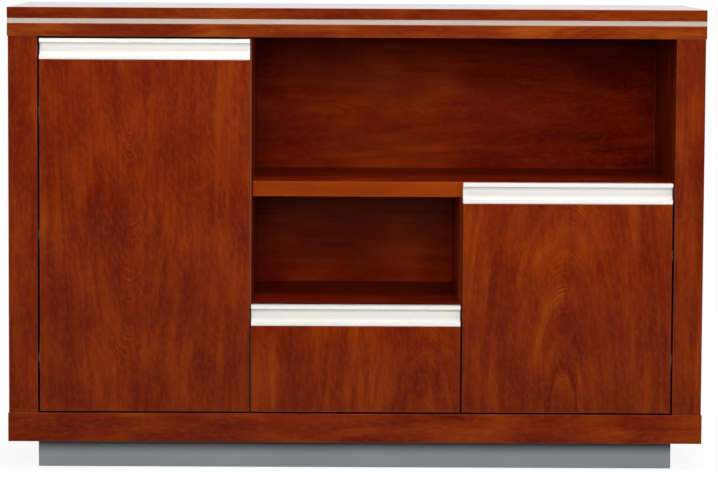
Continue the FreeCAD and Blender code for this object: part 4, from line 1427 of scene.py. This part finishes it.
def board_cuts() -> dict[str, Cut]:
    """How each lacquered board was cut, by the name of its node, in the order of making."""
    left_door, right_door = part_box("left_door_panel"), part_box("right_door_panel")
    drawer_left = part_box("drawer_front_panel")[0].x
    front = left_door[0].y
    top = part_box("top_upper_board")[1].z
    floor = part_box("bottom_board")[1].z
    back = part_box("back_panel")[0].y
    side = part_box("left_side_panel")[0].x
    left_heart = left_door[0].x + 0.155
    right_heart = (right_door[0].x + right_door[1].x) / 2 - 0.006
    return {
        "left_door_panel": Cut(Lay.UPRIGHT_FRONT, (left_heart, front, 0.368), 11.0, depth=0.06, rise=-0.12,
                               bend=0.1, sway=0.014, year=0.7 * MM, figure=0.24, rings=0.3, late=0.12,
                               lighter=-0.03),
        "right_door_panel": Cut(Lay.UPRIGHT_FRONT, (right_heart, front, 0.2), 23.0, depth=0.0275,
                                rise=0.26, sway=0.012, year=1.0 * MM, figure=0.3, rings=0.32, late=0.36,
                                streak=0.22),
        "drawer_front_panel": Cut(Lay.UPRIGHT_FRONT, (drawer_left + 0.3, front, 0.1), 31.0, depth=0.05,
                                  rise=0.2, sway=0.04, year=1.0 * MM, figure=0.24, streak=0.28),
        "top_lower_board": Cut(Lay.FLAT, (-0.2, 0.05, top), 43.0, depth=0.08, rise=-0.03, sway=0.05,
                               lighter=0.16),
        "bottom_board": Cut(Lay.FLAT, (0.3, 0.02, floor), 47.0, depth=0.07, rise=0.03, sway=0.05),
        "left_side_panel": Cut(Lay.UPRIGHT_SIDE, (side, 0.03, 0.3), 53.0, depth=0.07, rise=0.05),
        "right_side_panel": Cut(Lay.UPRIGHT_SIDE, (-side, -0.02, 0.2), 59.0, depth=-0.2, rise=0.04,
                                lighter=-0.02),
        "left_cabinet_lower_shelf": Cut(Lay.FLAT, (-0.4, 0.0, 0.3), 83.0, depth=0.06, rise=0.06),
        "left_cabinet_upper_shelf": Cut(Lay.FLAT, (-0.4, 0.0, 0.5), 89.0, depth=0.06, rise=0.06),
        "right_cabinet_shelf": Cut(Lay.FLAT, (0.4, 0.0, 0.3), 97.0, depth=0.06, rise=0.06),
        "top_upper_board": Cut(Lay.FLAT, (0.1, 0.03, top), 41.0, depth=0.06, rise=0.03, sway=0.05,
                               lighter=0.02),
        # The back panel's lighter stain and its darkening away from the heart point paint a pool of light on
        # it.
        "back_panel": Cut(Lay.LEVEL_FRONT, (0.06, back, 0.6), 79.0, depth=0.05, rise=0.05, lighter=0.27,
                          fade=1.6, figure=0.24, streak=0.24),
        # The drawer cell board's darker stain paints the shade of the lower compartment.
        "drawer_cell_board": Cut(Lay.FLAT, (0.0, 0.0, 0.3), 73.0, depth=0.06, rise=0.03, lighter=-0.12),
        "centre_shelf": Cut(Lay.FLAT, (0.2, 0.0, 0.5), 71.0, depth=0.06, rise=0.03, figure=0.45,
                            streak=0.5),
        # The dividers' lighter stain paints light into the shaded walls of the compartments.
        "left_divider": Cut(Lay.UPRIGHT_SIDE, (-0.2, 0.02, 0.3), 61.0, depth=0.07, rise=0.05,
                            lighter=0.2),
        "right_divider": Cut(Lay.UPRIGHT_SIDE, (0.2, 0.0, 0.3), 67.0, depth=0.07, rise=0.05,
                             lighter=0.4),
    }


def special_finishes() -> dict[str, VeneerFinish]:
    """The glossier top and the boards of the open compartments, with painted shade and edge light, by node
    name.
    """
    # A redder copy of the veneer: painted shade colour for the boards that sit in the open compartments.
    redder = VeneerFinish(dark=srgb(68, 3, 1), middle=srgb(105, 20, 2), light=srgb(123, 37, 4),
                          fleck=srgb(136, 48, 8), toner=(1.0, 0.2, 0.06, 1.0), coat=0.03)
    return {
        "top_upper_board": VeneerFinish(roughness=0.09, coat=0.12, coat_roughness=0.04),
        "back_panel": redder,
        # Painted shade on the drawer cell board's front edge.
        "drawer_cell_board": replace(redder, band=srgb(50, 7, 4), band_share=0.85),
        # Painted light on the centre shelf's front edge, lighter than its shaded top.
        "centre_shelf": replace(redder, band=srgb(156, 66, 10), band_share=0.45),
        # Painted highlight on the left divider's front edge, with a painted shadow beside its right face.
        "left_divider": replace(redder, band=srgb(170, 92, 66), band_share=0.42, painted_shadow_width=2.5 * MM),
        # Painted shadow on the right divider's front edge.
        "right_divider": replace(redder, band=srgb(60, 6, 1), band_share=0.75),
    }


def main() -> None:
    """Builds the studio and every sub-assembly in order."""
    logging.basicConfig(level=logging.INFO, format="%(name)s: %(message)s")
    lamps = (
        Lamp("front", (-0.05, -4.5, 1.75), (0, 0, 0.6), (2.0, 1.7), 108.0),
        Lamp("front_left", (-2.2, -3.4, 1.3), (0, 0, 0.5), (1.5, 1.2), 22.0),
        Lamp("front_right", (2.2, -3.4, 1.3), (0, 0, 0.5), (1.5, 1.2), 26.0),
        Lamp("front_top", (0.2, -1.6, 2.8), (0, 0, 0.6), (2.4, 1.0), 48.0),
        Lamp("side_left", (-3.4, 0.6, 1.6), (0, 0, 0.4), (1.6, 1.6), 34.0),
        Lamp("side_right", (3.4, 0.6, 1.6), (0, 0, 0.4), (1.6, 1.6), 34.0),
        Lamp("back", (0.4, 3.6, 1.8), (0, 0, 0.4), (2.6, 1.6), 90.0),
    )
    Studio(camera_place=(-0.0462, -6.0344, 0.9286), pitch=5.154, yaw=-0.501, roll=0.313, focal=3402.5,
           lamps=lamps).build()
    bench = Bench(Patterns())
    Boards(
        arris=1.0 * MM,
        cuts=board_cuts(),
        bodies={"left_door_panel": "left_door", "right_door_panel": "right_door",
                "drawer_front_panel": "drawer"},
        plain=frozenset({"top_upper_board", "left_cabinet_lower_shelf", "left_cabinet_upper_shelf",
                         "right_cabinet_shelf"}),
        finish=VeneerFinish(),
        special=special_finishes(),
    ).build(bench)
    strip_metal = MetalFinish(srgb(216, 196, 182), srgb(198, 178, 165), roughness=0.38,
                              along=(3.0, 3.0, 900.0), metallic=0.6)
    EdgeStrip(depth=8 * MM, arris=1.4 * MM, finish=strip_metal).build(bench)
    grip_metal = MetalFinish(srgb(239, 237, 232), srgb(233, 231, 225), roughness=0.42,
                             along=(3.0, 1400.0, 1400.0), lines=0.05, depth=0.002 * MM, metallic=0.15)
    grip = Grip(lip=6.4 * MM, sill=7 * MM, back=6 * MM, bend=8 * MM, wall=2 * MM, rib=(2 * MM, 8 * MM),
                arris=0.8 * MM, nose=1.8 * MM, finish=grip_metal)
    for body in ("left_door", "right_door", "drawer"):
        grip.build(bench, f"{body}_grip", body)
    timber = TimberFinish()
    grey = SpeckleFinish(srgb(152, 158, 163), srgb(134, 141, 146), roughness=0.5, scale=2600.0,
                         specular=0.05)
    Plinth(arris=0.8 * MM, finish=grey, block_finish=timber).build(bench)
    Fittings(
        nickel=MetalFinish(srgb(176, 174, 168), srgb(140, 138, 133), roughness=0.34,
                           along=(300.0, 300.0, 300.0)),
        timber=timber,
        rubber=SpeckleFinish(srgb(58, 56, 54), srgb(40, 38, 37), roughness=0.6, scale=900.0),
        laminate=SpeckleFinish(srgb(222, 216, 204), srgb(206, 198, 184), roughness=0.45, scale=1500.0),
        core=SpeckleFinish(srgb(186, 148, 104), srgb(120, 86, 54), roughness=0.8, scale=420.0,
                           depth=0.1 * MM, contrast=0.8),
    ).build(bench)
    LOG.info("%d pieces made", bench.count)


if __name__ == "__main__":
    main()
